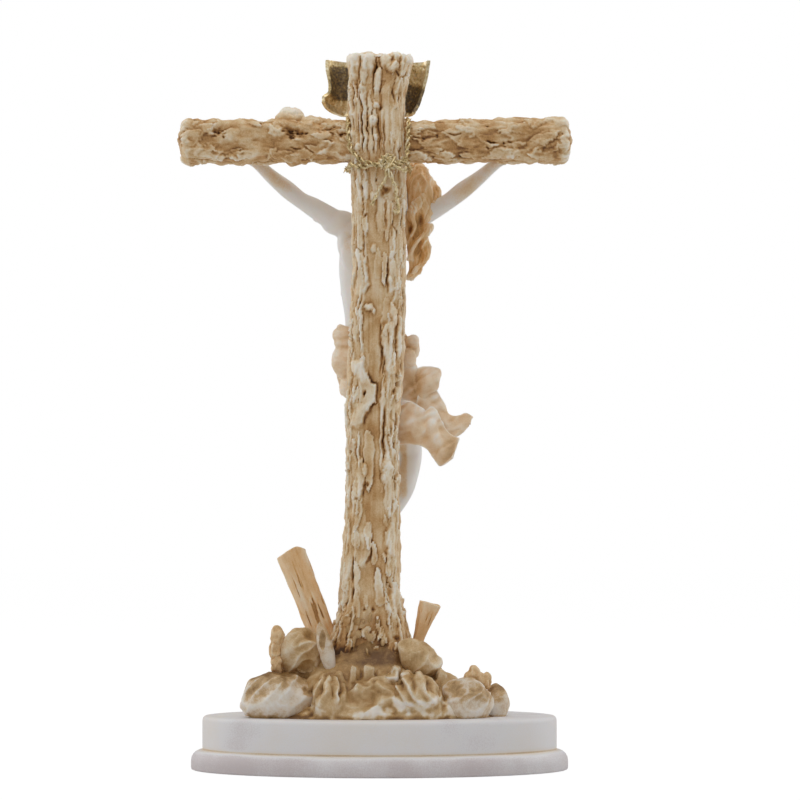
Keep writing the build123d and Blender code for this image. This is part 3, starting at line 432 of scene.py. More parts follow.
def layRope(log, middle, low, high, halfWide, lift):
    # a long rounded strip with a groove along each side
    block, under, v, u = partOf(log, low, high)
    ends = smoothStep(0, 4, v - low) * smoothStep(0, 3, high - v)
    share = fromPlace(log, u, middle) / np.maximum(halfWide * (0.5 + 0.5 * ends), 0.2)
    body = lift * ends * np.clip(1 - share ** 2, 0, 1) ** 0.6
    groove = 0.3 * lift * ends * np.exp(-((np.abs(share) - 1.2) / 0.28) ** 2)
    log["height"][block] = np.where(np.abs(share) < 1, np.maximum(under, 0.6 * under + body), under - groove)


def layPlate(log, edge, places, inward, lift):
    # a flat plate with one free ragged edge, running into the log on its other side
    block, under, v, u = partOf(log, places[0], places[-1])
    side = fromPlace(log, u, np.interp(v, places, edge)) * math.copysign(1, inward)
    ends = smoothStep(0, 2.5, v - places[0]) * smoothStep(0, 2.5, places[-1] - v)
    body = lift * ends * smoothStep(-0.1, 0.4, side) * smoothStep(abs(inward), 0.3 * abs(inward), side)
    shade = 0.5 * ends * np.exp(-((side + 0.7) / 0.6) ** 2)
    log["height"][block] = np.where(body > 0, np.maximum(under, body + 0.5 * under), under) - shade


def layBlob(log, middle, place, halfWide, halfLong, lift):
    block, under, v, u = partOf(log, place - halfLong, place + halfLong)
    share = np.hypot((v - place) / halfLong, fromPlace(log, u, middle) / halfWide)
    body = lift * np.clip(1 - share ** 2, 0, 1) ** 0.6
    log["height"][block] = np.where(share < 1, np.maximum(under, 0.6 * under + body), under)


def fibres(outline, along, wide, long, seed):
    return np.array([[noise.noise(Vector((a / wide + seed, b / wide, z / long))) for a, b in outline]
                     for z in along])


postSettings = {
    "footZ": 42.0, "rimZ": 297.4, "topZ": 299.2, "halfWidth": 11.4, "halfDepth": 10.4, "y": 0.6,
    "sides": 184, "rows": 505, "capRows": 8, "backShare": 0.25, "drift": 0.8, "seed": 11,
    # heights, and there the middle and half width of the post
    "line": ([42, 56, 66, 76, 96, 121, 147, 174, 189, 209, 241, 271, 282, 290, 296, 298],
             [4.4, 4.0, 3.4, 4.0, 3.2, 2.8, 2.8, 1.2, 1.0, 0.2, 0.3, 1.2, 1.3, 0.6, 0.0, 0.0],
             [19, 15.6, 13.2, 12.0, 11.4, 10.6, 10.8, 11.1, 11.1, 10.4, 10.8, 11.0, 11.4, 12.2, 13.3, 13.0]),
    "lanes": (-2.6, 0.0, 2.6), "shingles": 320, "chips": 80, "pits": 34, "crumbs": 46,
    # lifted flakes of the back: x and z, half width, half length, lean, tip up 1 or down -1, lift
    "large": [
        (-2.3, 208, 1.2, 7, 0.0, -1, 1.7), (8.8, 206, 1.5, 10, 0.05, 1, 1.8),
        (-7.6, 205, 1.4, 6, 0.0, -1, 1.5), (4.5, 128, 2.4, 13, 0.0, -1, 1.1),
        (-4.5, 117, 2.2, 12, 0.0, 1, 1.2), (4.6, 97, 1.6, 6, 0.1, -1, 1.8), (2.2, 90, 1.2, 5, 0.1, 1, 1.5),
        (-6.5, 101, 1.8, 12, 0.0, 1, 1.3), (0.6, 76, 1.8, 8, 0.1, 1, 1.6), (-6.0, 70, 1.8, 8, 0.0, 1, 1.8),
    ],
    # ropes of the back: x, lower and upper end, half width, lift
    "ropes": [
        (10.6, 285, 299, 2.2, 2.0), (7.0, 283, 299, 1.3, 1.4), (4.4, 288.5, 299, 2.4, 1.9),
        (1.2, 279.5, 293, 1.3, 1.7), (-1.8, 290, 299, 1.8, 1.5), (-8.4, 286, 299, 1.4, 1.5),
        (-11.0, 292, 299, 1.8, 1.8), (6.0, 256, 284, 1.0, 0.9), (3.6, 255, 280, 1.1, 0.8),
        (1.6, 256, 276, 0.8, 0.8), (-3.4, 255, 286, 2.0, 0.7), (-7.2, 256, 282, 2.2, 0.7),
        (-0.6, 222, 240, 1.8, 0.9), (-4.4, 224, 238, 1.5, 0.8), (-4.6, 170, 187, 0.9, 1.5),
        (-8.0, 168, 190, 0.9, 1.6), (-6.3, 182, 190, 1.4, 1.5), (-1.2, 118, 160, 0.9, 0.7),
        (8.6, 214, 252, 1.2, 1.0), (6.6, 226, 248, 0.7, 0.7),
    ],
    # pale blobs of the back: x and z, half width, half length, lift
    "knots": [
        (-5.0, 292.6, 2.6, 2.2, 2.0), (7.2, 283, 1.6, 1.8, 1.6), (1.6, 276.4, 1.4, 1.6, 1.5),
        (3.2, 270.0, 2.3, 2.2, 1.9), (1.6, 262.5, 0.9, 2.0, 1.4), (12.0, 273.6, 1.6, 1.6, 1.4),
        (11.6, 265, 1.4, 2.4, 1.4), (9.6, 259, 1.4, 1.8, 1.3), (4.6, 192.6, 2.2, 1.6, 1.8),
        (2.6, 190.4, 1.0, 1.8, 1.6), (-4.8, 203.4, 1.3, 2.8, 1.5), (-3.6, 126.5, 2.0, 2.2, 1.6),
        (-1.8, 120.6, 1.4, 1.8, 1.5), (6.2, 124.4, 1.2, 2.6, 1.5), (-4.6, 178, 0.7, 3.0, 1.9),
        (-6.2, 171, 0.8, 4.4, 1.9), (-5.8, 189, 1.9, 4.6, 1.2), (2.6, 217, 1.2, 2.2, 1.0),
        (3.0, 238.6, 1.4, 2.0, 1.1), (-6.6, 233, 1.4, 2.6, 1.2),
    ],
    # plates of the back: x and heights along the free edge, how far in it goes (leftwards below 0), lift
    "plates": [
        ([7.3, 6.8, 3.6, 1.2, 1.5, 5.2, 7.3], [141.9, 145.6, 151, 153, 160, 164.3, 170.5], -8.0, 1.7),
        ([-3.4, -2.6, -1.0, -0.7, -2.0, -3.6], [163, 170, 176, 180, 184.5, 187.5], 6.0, 1.3),
        ([8.4, 6.6, 6.2, 7.6], [112, 117, 124, 129], -5.0, 1.2),
        ([-1.8, -1.4, -3.0], [118, 124, 128], 4.6, 1.4),
        ([7.0, 4.4, 5.6, 8.0], [196, 201, 209, 216], -5.0, 1.1),
        ([-4.6, -3.6, -5.0], [197, 204, 212], 5.0, 1.2),
        ([-4.0, -2.4, -3.4], [88, 94, 102], 5.0, 1.1), ([5.6, 3.6, 5.0], [84, 91, 99], -5.0, 1.2),
    ],
    # slits of the back: x and z, half width, half length, depth
    "slits": [
        (-1.9, 135, 0.7, 7.0, 2.2), (-8.4, 159.8, 1.3, 1.3, 2.6), (-7.0, 157.4, 0.9, 1.2, 1.8),
        (-0.9, 171, 0.8, 6.0, 1.4), (10.8, 82, 0.7, 5.0, 2.2), (10.4, 74, 0.6, 3.4, 2.0),
        (-3.6, 76, 1.0, 4.0, 2.2), (-2.4, 166, 0.8, 7.0, 1.4), (6.5, 156.2, 0.7, 1.3, 2.4),
        (-2.4, 146, 0.7, 4.0, 1.8), (-2.6, 240.8, 2.2, 1.6, 2.0), (8.0, 242, 0.6, 1.2, 1.6),
        (6.2, 230, 0.6, 1.0, 1.6), (2.0, 291.6, 0.7, 2.4, 1.8), (0.2, 265, 0.4, 8.0, 1.1),
        (-2.0, 264, 0.4, 9.0, 1.1), (7.6, 270, 0.5, 12.0, 1.2), (-6.0, 281, 0.5, 4.0, 1.3),
        (10.0, 209, 0.5, 6.0, 1.4),
    ],
}


def makePost(settings):
    pick = random.Random(settings["seed"])
    outline = softBox(settings["sides"], settings["halfWidth"], settings["halfDepth"], 0.55)
    along = np.linspace(settings["footZ"], settings["rimZ"], settings["rows"])
    log = raggedLog(outline, along, settings["drift"])
    around, span = log["around"], log["span"]
    back = span * settings["backShare"]
    height = 0.16 * fibres(outline, along, 1.0, 30.0, 3.1) + 0.10 * fibres(outline, along, 0.6, 9.0, 7.7)
    height += 0.5 * fibres(outline, along, 6.0, 30.0, 1.4)
    sides = np.abs(np.sin((around - back) / span * 2 * math.pi)) ** 2
    height += sides[None, :] * (1.2 * fibres(outline, along, 7.0, 5.0, 6.3)
                                + 0.5 * fibres(outline, along, 3.0, 2.4, 8.1))
    height += 0.35 * smoothStep(228, 262, along)[:, None] * fibres(outline, along, 1.5, 80.0, 5.2)
    log["height"] = height
    faces = (back, back + span / 2)  # middles of the back and the front
    for face in faces:
        away = fromPlace(log, log["u"], face)
        log["height"] -= 1.0 * np.exp(-(away / 4.6) ** 4) * (0.7 + 0.3 * np.sin(along / 19))[:, None]
    for _ in range(settings["shingles"]):
        middle = pick.uniform(0, span)
        off = min(abs(fromPlace(log, middle, face)) for face in faces)
        if off > 5 or pick.random() < 0.22:
            layFlake(log, middle, pick.uniform(62, 296), pick.uniform(0.8, 2.4), pick.uniform(3.5, 14),
                     pick.uniform(-0.05, 0.05), pick.choice((-1, 1)), pick.uniform(0.3, 1.0))
    for face in faces:
        for side in (-9.0, 9.0):
            for _ in range(settings["chips"]):
                layFlake(log, face + side + pick.uniform(-3.5, 3.5), pick.uniform(46, 297),
                         pick.uniform(0.5, 1.4), pick.uniform(1.6, 7.0), pick.uniform(-0.15, 0.15),
                         pick.choice((-1, 1)), pick.uniform(0.6, 1.7))
            for lane in settings["lanes"]:
                z = settings["footZ"]
                while z < settings["rimZ"]:
                    long = pick.uniform(6, 26)
                    layRope(log, face + side + lane * math.copysign(1, side) + pick.gauss(0, 0.8), z,
                            z + long, pick.uniform(0.35, 0.75), pick.uniform(0.5, 1.2))
                    z += long * pick.uniform(0.9, 1.6)

    def across(x, z):  # place round the log of a point on its back
        return back - x + np.interp(z, settings["line"][0], settings["line"][1])

    for x, low, high, halfWide, lift in settings["ropes"]:
        layRope(log, across(x, low), low, high, halfWide, lift)
    for edge, places, inward, lift in settings["plates"]:
        layPlate(log, [across(x, z) for x, z in zip(edge, places)], places, inward, lift)
    for x, z, halfWide, halfLong, lean, tip, lift in settings["large"]:
        layFlake(log, across(x, z), z, halfWide, halfLong, -lean, tip, lift)
    for x, z, halfWide, halfLong, lift in settings["knots"]:
        layBlob(log, across(x, z), z, halfWide, halfLong, lift)
    for _ in range(settings["crumbs"]):  # broken foot
        place = pick.uniform(46, 72)
        layFlake(log, pick.uniform(0, span), place, pick.uniform(0.6, 1.4), pick.uniform(1.4, 4.0),
                 pick.uniform(-0.2, 0.2), pick.choice((-1, 1)), pick.uniform(0.5, 1.5))
        cutPit(log, pick.uniform(0, span), place, pick.uniform(0.3, 0.8), pick.uniform(0.6, 2.6),
               pick.uniform(0.8, 2.0))
    for _ in range(settings["pits"]):
        cutPit(log, pick.uniform(0, span), pick.uniform(50, 290), pick.uniform(0.35, 0.7),
               pick.uniform(0.7, 2.0), pick.uniform(0.8, 1.8))
    for x, z, halfWide, halfLong, depth in settings["slits"]:
        cutPit(log, across(x, z), z, halfWide, halfLong, depth)
    rings = []
    for z in along:
        wide = np.interp(z, settings["line"][0], settings["line"][2]) / settings["halfWidth"]
        flat = outline * (wide, 1)
        x = np.interp(z, settings["line"][0], settings["line"][1])
        rings.append(np.column_stack([flat[:, 0] + x, flat[:, 1] + settings["y"], np.full(len(flat), z)]))
    for step in range(1, settings["capRows"] + 1):
        share = step / (settings["capRows"] + 1)
        middle = rings[settings["rows"] - 1].mean(0)
        ring = middle + (rings[settings["rows"] - 1] - middle) * (1 - share)
        ring[:, 2] += (settings["topZ"] - settings["rimZ"]) * math.sin(share * math.pi / 2)
        rings.append(ring)
    post = ringMesh("barkPost", rings)
    points = pointsOf(post)
    rise = np.concatenate([height.ravel(), np.zeros(len(points) - height.size)])
    top = np.arange(len(points)) >= height.size
    rise[top] = 0.8 * noiseAt(points[top], 2.4, 2.0) + 1.3 * noiseAt(points[top], 6.0, 3.0)
    fade = np.where(points[:, 1] < -4, 0.45, 1.0)  # kept low in front, where the figure lies on it
    movePoints(post, points + normalsOf(post) * (rise * fade)[:, None])
    points = pointsOf(post)
    # raised bark is paler, where the wash was wiped off
    toneAndPaintedLight = -0.06 - 0.03 * np.clip(np.where(top, 0, rise), -1.5, 2.4)
    # painted shade: darker foot, most of all where the post meets the rock mound
    toneAndPaintedLight = toneAndPaintedLight + 0.2 * smoothStep(66, 48, points[:, 2]) + 0.4 * smoothStep(53, 49, points[:, 2])
    storeWash(post, (5, 0.5), (80, 2.2), extra=toneAndPaintedLight + 0.05 * smoothStep(6, 10, np.abs(points[:, 0] - 2)))
    return post


beamSettings = {
    "lowX": -78.8, "highX": 82.8, "z": 262.3, "y": -2.3, "halfHeight": 8.9, "halfDepth": 8.0, "waist": 0.9,
    "round": 2.6, "sides": 148, "rows": 400, "capRows": 9, "drift": 1.5, "stubVoxel": 0.35, "endBlobs": 26,
    "seed": 5, "scales": 230, "shreds": 60, "blobs": 40, "pits": 34,
    "stub": [((38.2, -2.3, 271.4), (5.6, 5.2, 5.6)), ((36.0, -2.3, 272.0), (4.6, 4.6, 5.0)),
             ((28.0, -2.3, 269.6), (9.0, 5.0, 3.8)), ((19.0, -2.3, 268.4), (8.0, 4.6, 2.6))],
    # x, z, half sizes and depth of the crumbled spots of the back
    "hollows": [
        (37.0, 266.0, 2.6, 3.2, 2.2), (33.5, 265.6, 1.8, 2.6, 2.0), (22.0, 268.0, 2.2, 5.0, 1.8),
        (67.4, 266.0, 1.8, 2.6, 1.8), (16.0, 264.5, 1.6, 3.0, 1.5), (-20.0, 264.0, 1.2, 4.0, 1.2),
        (-52.0, 260.0, 1.0, 3.0, 1.0),
    ],
    # broad shallow scallops, in the same way
    "scallops": [(63.0, 258.6, 3.0, 7.6, 1.5), (75.0, 261.5, 4.0, 5.0, 1.0), (48.0, 261.0, 3.6, 6.0, 1.1),
                 (29.0, 258.6, 3.4, 6.4, 1.1)],
}


def makeBeam(settings):
    pick = random.Random(settings["seed"])
    outline = softBox(settings["sides"], settings["halfDepth"], settings["halfHeight"], 0.6)  # y and z
    along = np.linspace(settings["lowX"], settings["highX"], settings["rows"])
    log = raggedLog(outline, along, settings["drift"])
    span, height = log["span"], log["height"]
    for i, x in enumerate(along):  # smooth scallops on the left, finer slanting layers on the right
        fine = smoothStep(6, -12, x)
        for k, (y, z) in enumerate(outline):
            broad = 1 - 2.4 * abs(noise.noise(Vector((x / 11, y / 5.5, z / 5.5 + 3))))
            layers = 1 - 2.4 * abs(noise.noise(Vector(((x + 1.2 * z) / 10, y / 2.9, z / 2.9 + 9))))
            dust = noise.noise(Vector((x / 2.2, y / 1.1, z / 1.1)))
            height[i, k] = (0.7 - 0.4 * fine) * broad + (0.15 + 0.4 * fine) * layers + 0.2 * dust - 0.6
            height[i, k] += 1.9 * (abs(z) / 9) ** 2 * noise.noise(Vector((x / 4.6, y / 6, z / 6)))
    for _ in range(settings["scales"]):
        place = pick.uniform(settings["lowX"], settings["highX"])
        layFlake(log, pick.uniform(0, span), place, pick.uniform(1.5, 3.4),
                 pick.uniform(2.6, 5.4) * (1.0 if place > 0 else 1.35), pick.uniform(-0.5, 0.5),
                 pick.choice((-1, 1, 1)), pick.uniform(0.4, 1.1), 0.0)
    for _ in range(settings["shreds"]):
        layFlake(log, span * 0.75 + pick.choice((-7.5, 7.5)) + pick.gauss(0, 1.6), pick.uniform(-78, 82),
                 pick.uniform(0.8, 1.7), pick.uniform(2, 6), pick.uniform(-0.3, 0.3), pick.choice((-1, 1)),
                 pick.uniform(0.7, 1.6), 0.0)
    for _ in range(settings["blobs"]):
        layBlob(log, pick.uniform(0, span), pick.uniform(-78, 82), pick.uniform(0.6, 1.4),
                pick.uniform(0.8, 2.4), pick.uniform(0.4, 1.0))
    for end in (settings["lowX"], settings["highX"]):  # swollen, broken ends
        for _ in range(settings["endBlobs"]):
            layBlob(log, pick.uniform(0, span), end - math.copysign(abs(pick.gauss(0, 4)), end),
                    pick.uniform(1.4, 3.4), pick.uniform(1.2, 3.0), pick.uniform(0.3, 0.9))
    for _ in range(settings["pits"]):
        cutPit(log, pick.uniform(0, span), pick.uniform(-74, 78), pick.uniform(0.3, 0.7),
               pick.uniform(0.5, 1.4), pick.uniform(0.6, 1.3))
    for x, z, halfWide, halfLong, depth in settings["scallops"]:
        cutPit(log, z - settings["z"], x, halfWide, halfLong, depth)
    for x, z, halfWide, halfLong, depth in settings["hollows"]:
        cutPit(log, z - settings["z"], x, halfWide, halfLong, depth)
        for _ in range(5):
            cutPit(log, z - settings["z"] + pick.gauss(0, 1.2), x + pick.gauss(0, 2.4), 0.6, 0.8, 1.2)
    rings = []
    for x in along:
        waist = settings["waist"] * math.exp(-((x + 4) / 30) ** 2)
        near = max(0.0, settings["round"] - min(x - settings["lowX"], settings["highX"] - x))
        drawn = settings["round"] - math.sqrt(settings["round"] ** 2 - near ** 2)  # rounded ends
        drawn = drawn / settings["halfHeight"]
        flat = outline * (1 - drawn, (settings["halfHeight"] - waist) / settings["halfHeight"] - drawn)
        sway = 1.1 * math.sin((x - 20) / 24) * (1 if x > 0 else 0.5) + 2.4 * smoothStep(20, -70, x)
        rings.append(np.column_stack([np.full(len(flat), x), flat[:, 0] + settings["y"],
                                      flat[:, 1] + settings["z"] + 0.3 * sway]))
    for end, side in ((0, -1), (-1, 1)):
        edge = rings[end]
        middle = edge.mean(0)
        caps = []
        for step in range(1, settings["capRows"] + 1):
            share = step / (settings["capRows"] + 1)
            ring = middle + (edge - middle) * (1 - share)
            ring[:, 0] += side * 1.6 * math.sin(share * math.pi / 2)
            caps.append(ring)
        rings = caps[::-1] + rings if end == 0 else rings + caps
    beam = ringMesh("barkBeam", rings)
    height = 0.6 * height + 0.1 * (np.roll(height, 1, 1) + np.roll(height, -1, 1)
                                   + np.roll(height, 1, 0) + np.roll(height, -1, 0))
    tidyNormals(beam)
    points = pointsOf(beam)
    rise = np.zeros(len(points))
    skip = settings["capRows"] * settings["sides"]
    rise[skip:skip + height.size] = height.ravel()
    ends = rise == 0
    rise[ends] = 1.1 * noiseAt(points[ends], 3.4, 4.0)
    fade = np.where(points[:, 1] < -7, 0.5, 1.0)
    movePoints(beam, points + normalsOf(beam) * (rise * fade)[:, None])
    storeWash(beam, (6, 0.5), (80, 2.0), extra=0.05 - 0.03 * np.clip(np.where(ends, 0, rise), -1.5, 2))
    return beam


def makeStub(settings):
    pieces = [lump(centre, radii, 4) for centre, radii in settings["stub"]]
    stub = moulded("branchStub", pieces, settings["stubVoxel"], 3)
    points = pointsOf(stub)
    movePoints(stub, points + normalsOf(stub) * (0.8 * noiseAt(points, 3.4, 1.0))[:, None])
    setWash(stub, np.clip(0.62 - 0.09 * (points[:, 2] - 270), 0.12, 0.75))  # paler towards its top
    return stub


barkPost = makePost(postSettings)
dress(barkPost, barkResin, "washed_bark", "post")
barkBeam = makeBeam(beamSettings)
dress(barkBeam, barkResin, "washed_bark", "crossbeam")
branchStub = makeStub(beamSettings)
dress(branchStub, barkResin, "washed_bark")
print("cross done")


# plinth and felt

plinthSettings = {
    "halfLong": 78.4, "halfWide": 50.0, "sides": 288,
    # inset from the foot's edge and height, from underneath to the middle of the top
    "profile": [(30, 0.5), (6, 0.5), (0.8, 0.45), (0.2, 0.7), (0, 1.3), (0, 4.2), (0.25, 5.6), (0.9, 6.9),
                (1.9, 7.9), (3.1, 8.45), (4.2, 8.55), (4.75, 8.7), (4.85, 9.1), (4.75, 9.6), (4.7, 10.6),
                (4.7, 15), (4.7, 20.6), (4.85, 21.5), (5.25, 22.2), (5.9, 22.6), (7, 22.75), (12, 22.8),
                (24, 22.8), (40, 22.8)],
}


def ovalRings(settings, profile):
    angles = np.linspace(0, 2 * math.pi, settings["sides"], endpoint=False)
    return [np.column_stack([(settings["halfLong"] - inset) * np.cos(angles),
                             (settings["halfWide"] - inset) * np.sin(angles),
                             np.full(len(angles), z)]) for inset, z in profile]


def makePlinth(settings):
    plinth = ringMesh("ovalPlinth", ovalRings(settings, settings["profile"]))
    points = pointsOf(plinth)
    low = np.exp(-((points[:, 2] - 9.0) / 0.45) ** 2)
    rim = np.exp(-((points[:, 2] - 22.8) / 0.35) ** 2) * (np.hypot(points[:, 0] / 50, points[:, 1] / 35) < 1)
    # painted shade: the foot band below the bead is darker and greyer
    setWash(plinth, 0.2 - 0.16 * smoothStep(8.6, 7.2, points[:, 2]) + 0.6 * low + 0.3 * rim)
    return plinth


feltSettings = {"halfLong": 73.4, "halfWide": 45.0, "sides": 200,
                "profile": [(30, 0.02), (1.0, 0.02), (0.3, 0.15), (0.1, 0.5), (0.1, 1.2), (0.8, 1.5),
                            (30, 1.5)]}
# the darkest, greyest stop is the painted shade of the plinth's foot band
plinthResin = washedResin("castWhitePlinth", [
    (0.0, "d2c8c8"), (0.2, "ebe9ea"), (0.6, "e8dccb"), (0.9, "cdb08a")],
    rough=0.55, glow=0.08, blotch=40.0, relief=0.05)
ovalPlinth = makePlinth(plinthSettings)
dress(ovalPlinth, plinthResin, "plinth_marble", "plinth", smoothAngle=50)
feltPad = ringMesh("feltPad", ovalRings(feltSettings, feltSettings["profile"]))
dress(feltPad, feltGreen, "felt", "felt_pad", smoothAngle=50)
print("plinth done")


# rock mound and stones

moundSettings = {
    "voxel": 0.5, "floor": 22.75, "baseZ": 22.9, "half": (50.0, 35.0), "height": 33.0, "middleX": (3.0, 4.6),
    "sides": 120, "seed": 3,
    # share of the height and of the reach of the core
    "profile": [(-0.1, 1.0), (0, 1.0), (0.22, 0.88), (0.42, 0.70), (0.58, 0.56), (0.72, 0.44), (0.84, 0.34),
                (0.95, 0.26)],
    # blocks of rock: centre and radii
    "blocks": [((20, 24, 28.9), (9, 9.5, 10.2)), ((4, 19, 30.9), (17, 12, 8.6)),
               ((4.5, 25, 24.4), (19, 9.5, 6.6)), ((-15, 23, 29.4), (10.6, 10.2, 11)),
               ((-26, 12, 29.9), (9.5, 9, 11)), ((38, 4, 29.9), (12.5, 12, 13)),
               ((24, -22, 28.9), (14.5, 12, 11)), ((-24, -20, 28.9), (13.5, 12, 10)),
               ((1, -26, 28.9), (13.5, 9.5, 11))],
    # teeth of the crest: foot, width, height and lean
    "teeth": [((15.5, 22.0, 35.4), 5.6, 6.2, -24), ((11.0, 22.5, 35.4), 3.0, 9.0, 4),
              ((3.6, 22, 35.4), 5.6, 8.6, -2), ((-3.6, 22, 35.4), 3.2, 8.8, 24),
              ((-8.6, 22, 35.4), 3.4, 7.0, 34), ((-14, 20, 36.4), 4.0, 5.4, 40),
              ((-24.5, 17, 34.9), 4.6, 6.4, 18), ((12, -21.5, 34.9), 5.6, 9, -18),
              ((2.5, -22.5, 34.9), 4.6, 7.6, 13), ((-7.5, -21.5, 34.9), 5.4, 8.8, 24)],
    # ridges of the face seen from behind: points in x and z, half widths to the left and right, height
    "ridges": [([(-5.8, 39.6), (-7.8, 34.8), (-11.4, 29.0)], 1.2, 3.0, 2.3),
               ([(-9.8, 40.6), (-12.6, 34.0), (-16.4, 29.4)], 1.3, 2.8, 2.6),
               ([(-15.4, 39.8), (-18.4, 33.6), (-21.4, 29.6)], 1.3, 2.8, 2.3),
               ([(-20.2, 38.8), (-23.0, 35.0), (-25.0, 31.0)], 1.2, 2.4, 1.8),
               ([(22.6, 39.4), (25.4, 32.4)], 2.0, 1.0, 2.0),
               ([(20.2, 39.0), (21.2, 34.0), (24.0, 28.6)], 2.0, 1.1, 2.2),
               ([(17.8, 38.6), (17.0, 30.8)], 2.2, 1.0, 2.3), ([(14.4, 36.4), (13.2, 31.0)], 1.8, 0.9, 1.4),
               ([(9.6, 35.4), (0.6, 38.6), (-6.2, 39.8)], 2.6, 1.4, 2.4),
               ([(1.4, 36.8), (-4.6, 33.6), (-7.0, 30.0)], 2.0, 2.8, 2.0),
               ([(6.0, 25.4), (3.0, 27.0), (-1.8, 30.6), (-6.2, 31.4), (-9.4, 28.4)], 3.2, 2.4, 1.5)],
    # hollows between them: middle in x and z, half sizes, depth
    "dents": [((7.0, 31.0), (8.5, 3.6), 2.4), ((6.2, 36.6), (2.6, 1.2), 1.8), ((10.4, 36.4), (1.4, 2.0), 1.2),
              ((-13.4, 26.6), (2.0, 2.2), 1.0), ((27.6, 30.0), (1.8, 6.0), 2.2),
              ((-26.4, 29.5), (1.6, 6.0), 1.8), ((-9.4, 36.2), (1.2, 3.0), 1.4),
              ((-14.2, 35.8), (1.1, 3.4), 1.6), ((-19.4, 35.6), (1.1, 3.0), 1.4),
              ((15.8, 34.4), (0.9, 3.0), 1.3), ((19.0, 34.0), (0.8, 3.4), 1.3),
              ((23.2, 35.0), (0.8, 3.0), 1.2), ((1.2, 41.0), (1.0, 2.0), 1.2), ((7.6, 41.0), (1.2, 2.2), 1.4),
              ((-5.8, 41.2), (0.9, 1.8), 1.2)],
    "crumbs": 70,
}
slant = np.array([[0.8, 0, 0.6], [0, 1, 0], [-0.6, 0, 0.8]])  # turns layers aslant
stoneChips = {"count": 6, "turn": 2.4, "rise": 0.35, "swing": 0.5, "reach": 0.86}


def ridgesAt(points, size, seed):  # sharp crests with smooth hollows between them
    scaled = np.asarray(points) / np.asarray(size) + seed * 3.17
    return np.array([1 - 2.4 * abs(noise.noise(Vector(p))) for p in scaled])


def chipped(centre, radii, number, detail=5):  # a ball of rock with flats broken off it
    rock = lump((0, 0, 0), radii, detail)
    points = pointsOf(rock)
    for chip in range(stoneChips["count"]):
        turn = stoneChips["turn"] * chip + number
        rise = stoneChips["rise"] + stoneChips["swing"] * math.sin(chip + number)
        aim = np.array([math.cos(turn) * math.cos(rise), math.sin(turn) * math.cos(rise), math.sin(rise)])
        over = points @ aim - stoneChips["reach"] * np.linalg.norm(np.array(radii) * aim)
        points = points - np.maximum(over, 0)[:, None] * aim
    movePoints(rock, points + np.array(centre))
    return rock


def slab(foot, width, height, lean, thick=4.2, taper=0.7):  # tapered tooth of rock
    corners = [(-1, -1), (1, -1), (1, 1), (-1, 1)]
    points = [(x * width / 2, y * thick / 2, 0) for x, y in corners]
    points += [(x * width / 2 * taper, y * thick / 2 * taper, height + 0.5 * x) for x, y in corners]
    turn = np.array(Matrix.Rotation(math.radians(-lean), 3, "Y"))
    faces = [(3, 2, 1, 0), (4, 5, 6, 7), (0, 1, 5, 4), (1, 2, 6, 5), (2, 3, 7, 6), (3, 0, 4, 7)]
    return makeObject("tooth", np.array(points) @ turn.T + np.array(foot), faces)


def tentAlong(flat, line, left, right):
    # 1 on a line in the x-z plane, falling straight to 0 at its left and right
    best = np.zeros(len(flat))
    for start, end in zip(np.array(line[:-1], float), np.array(line[1:], float)):
        run = end - start
        share = np.clip((flat - start) @ run / (run @ run), 0, 1)
        off = flat - start - share[:, None] * run
        side = run[0] * off[:, 1] - run[1] * off[:, 0]
        best = np.maximum(best, 1 - np.linalg.norm(off, axis=1) / np.where(side > 0, left, right))
    return best


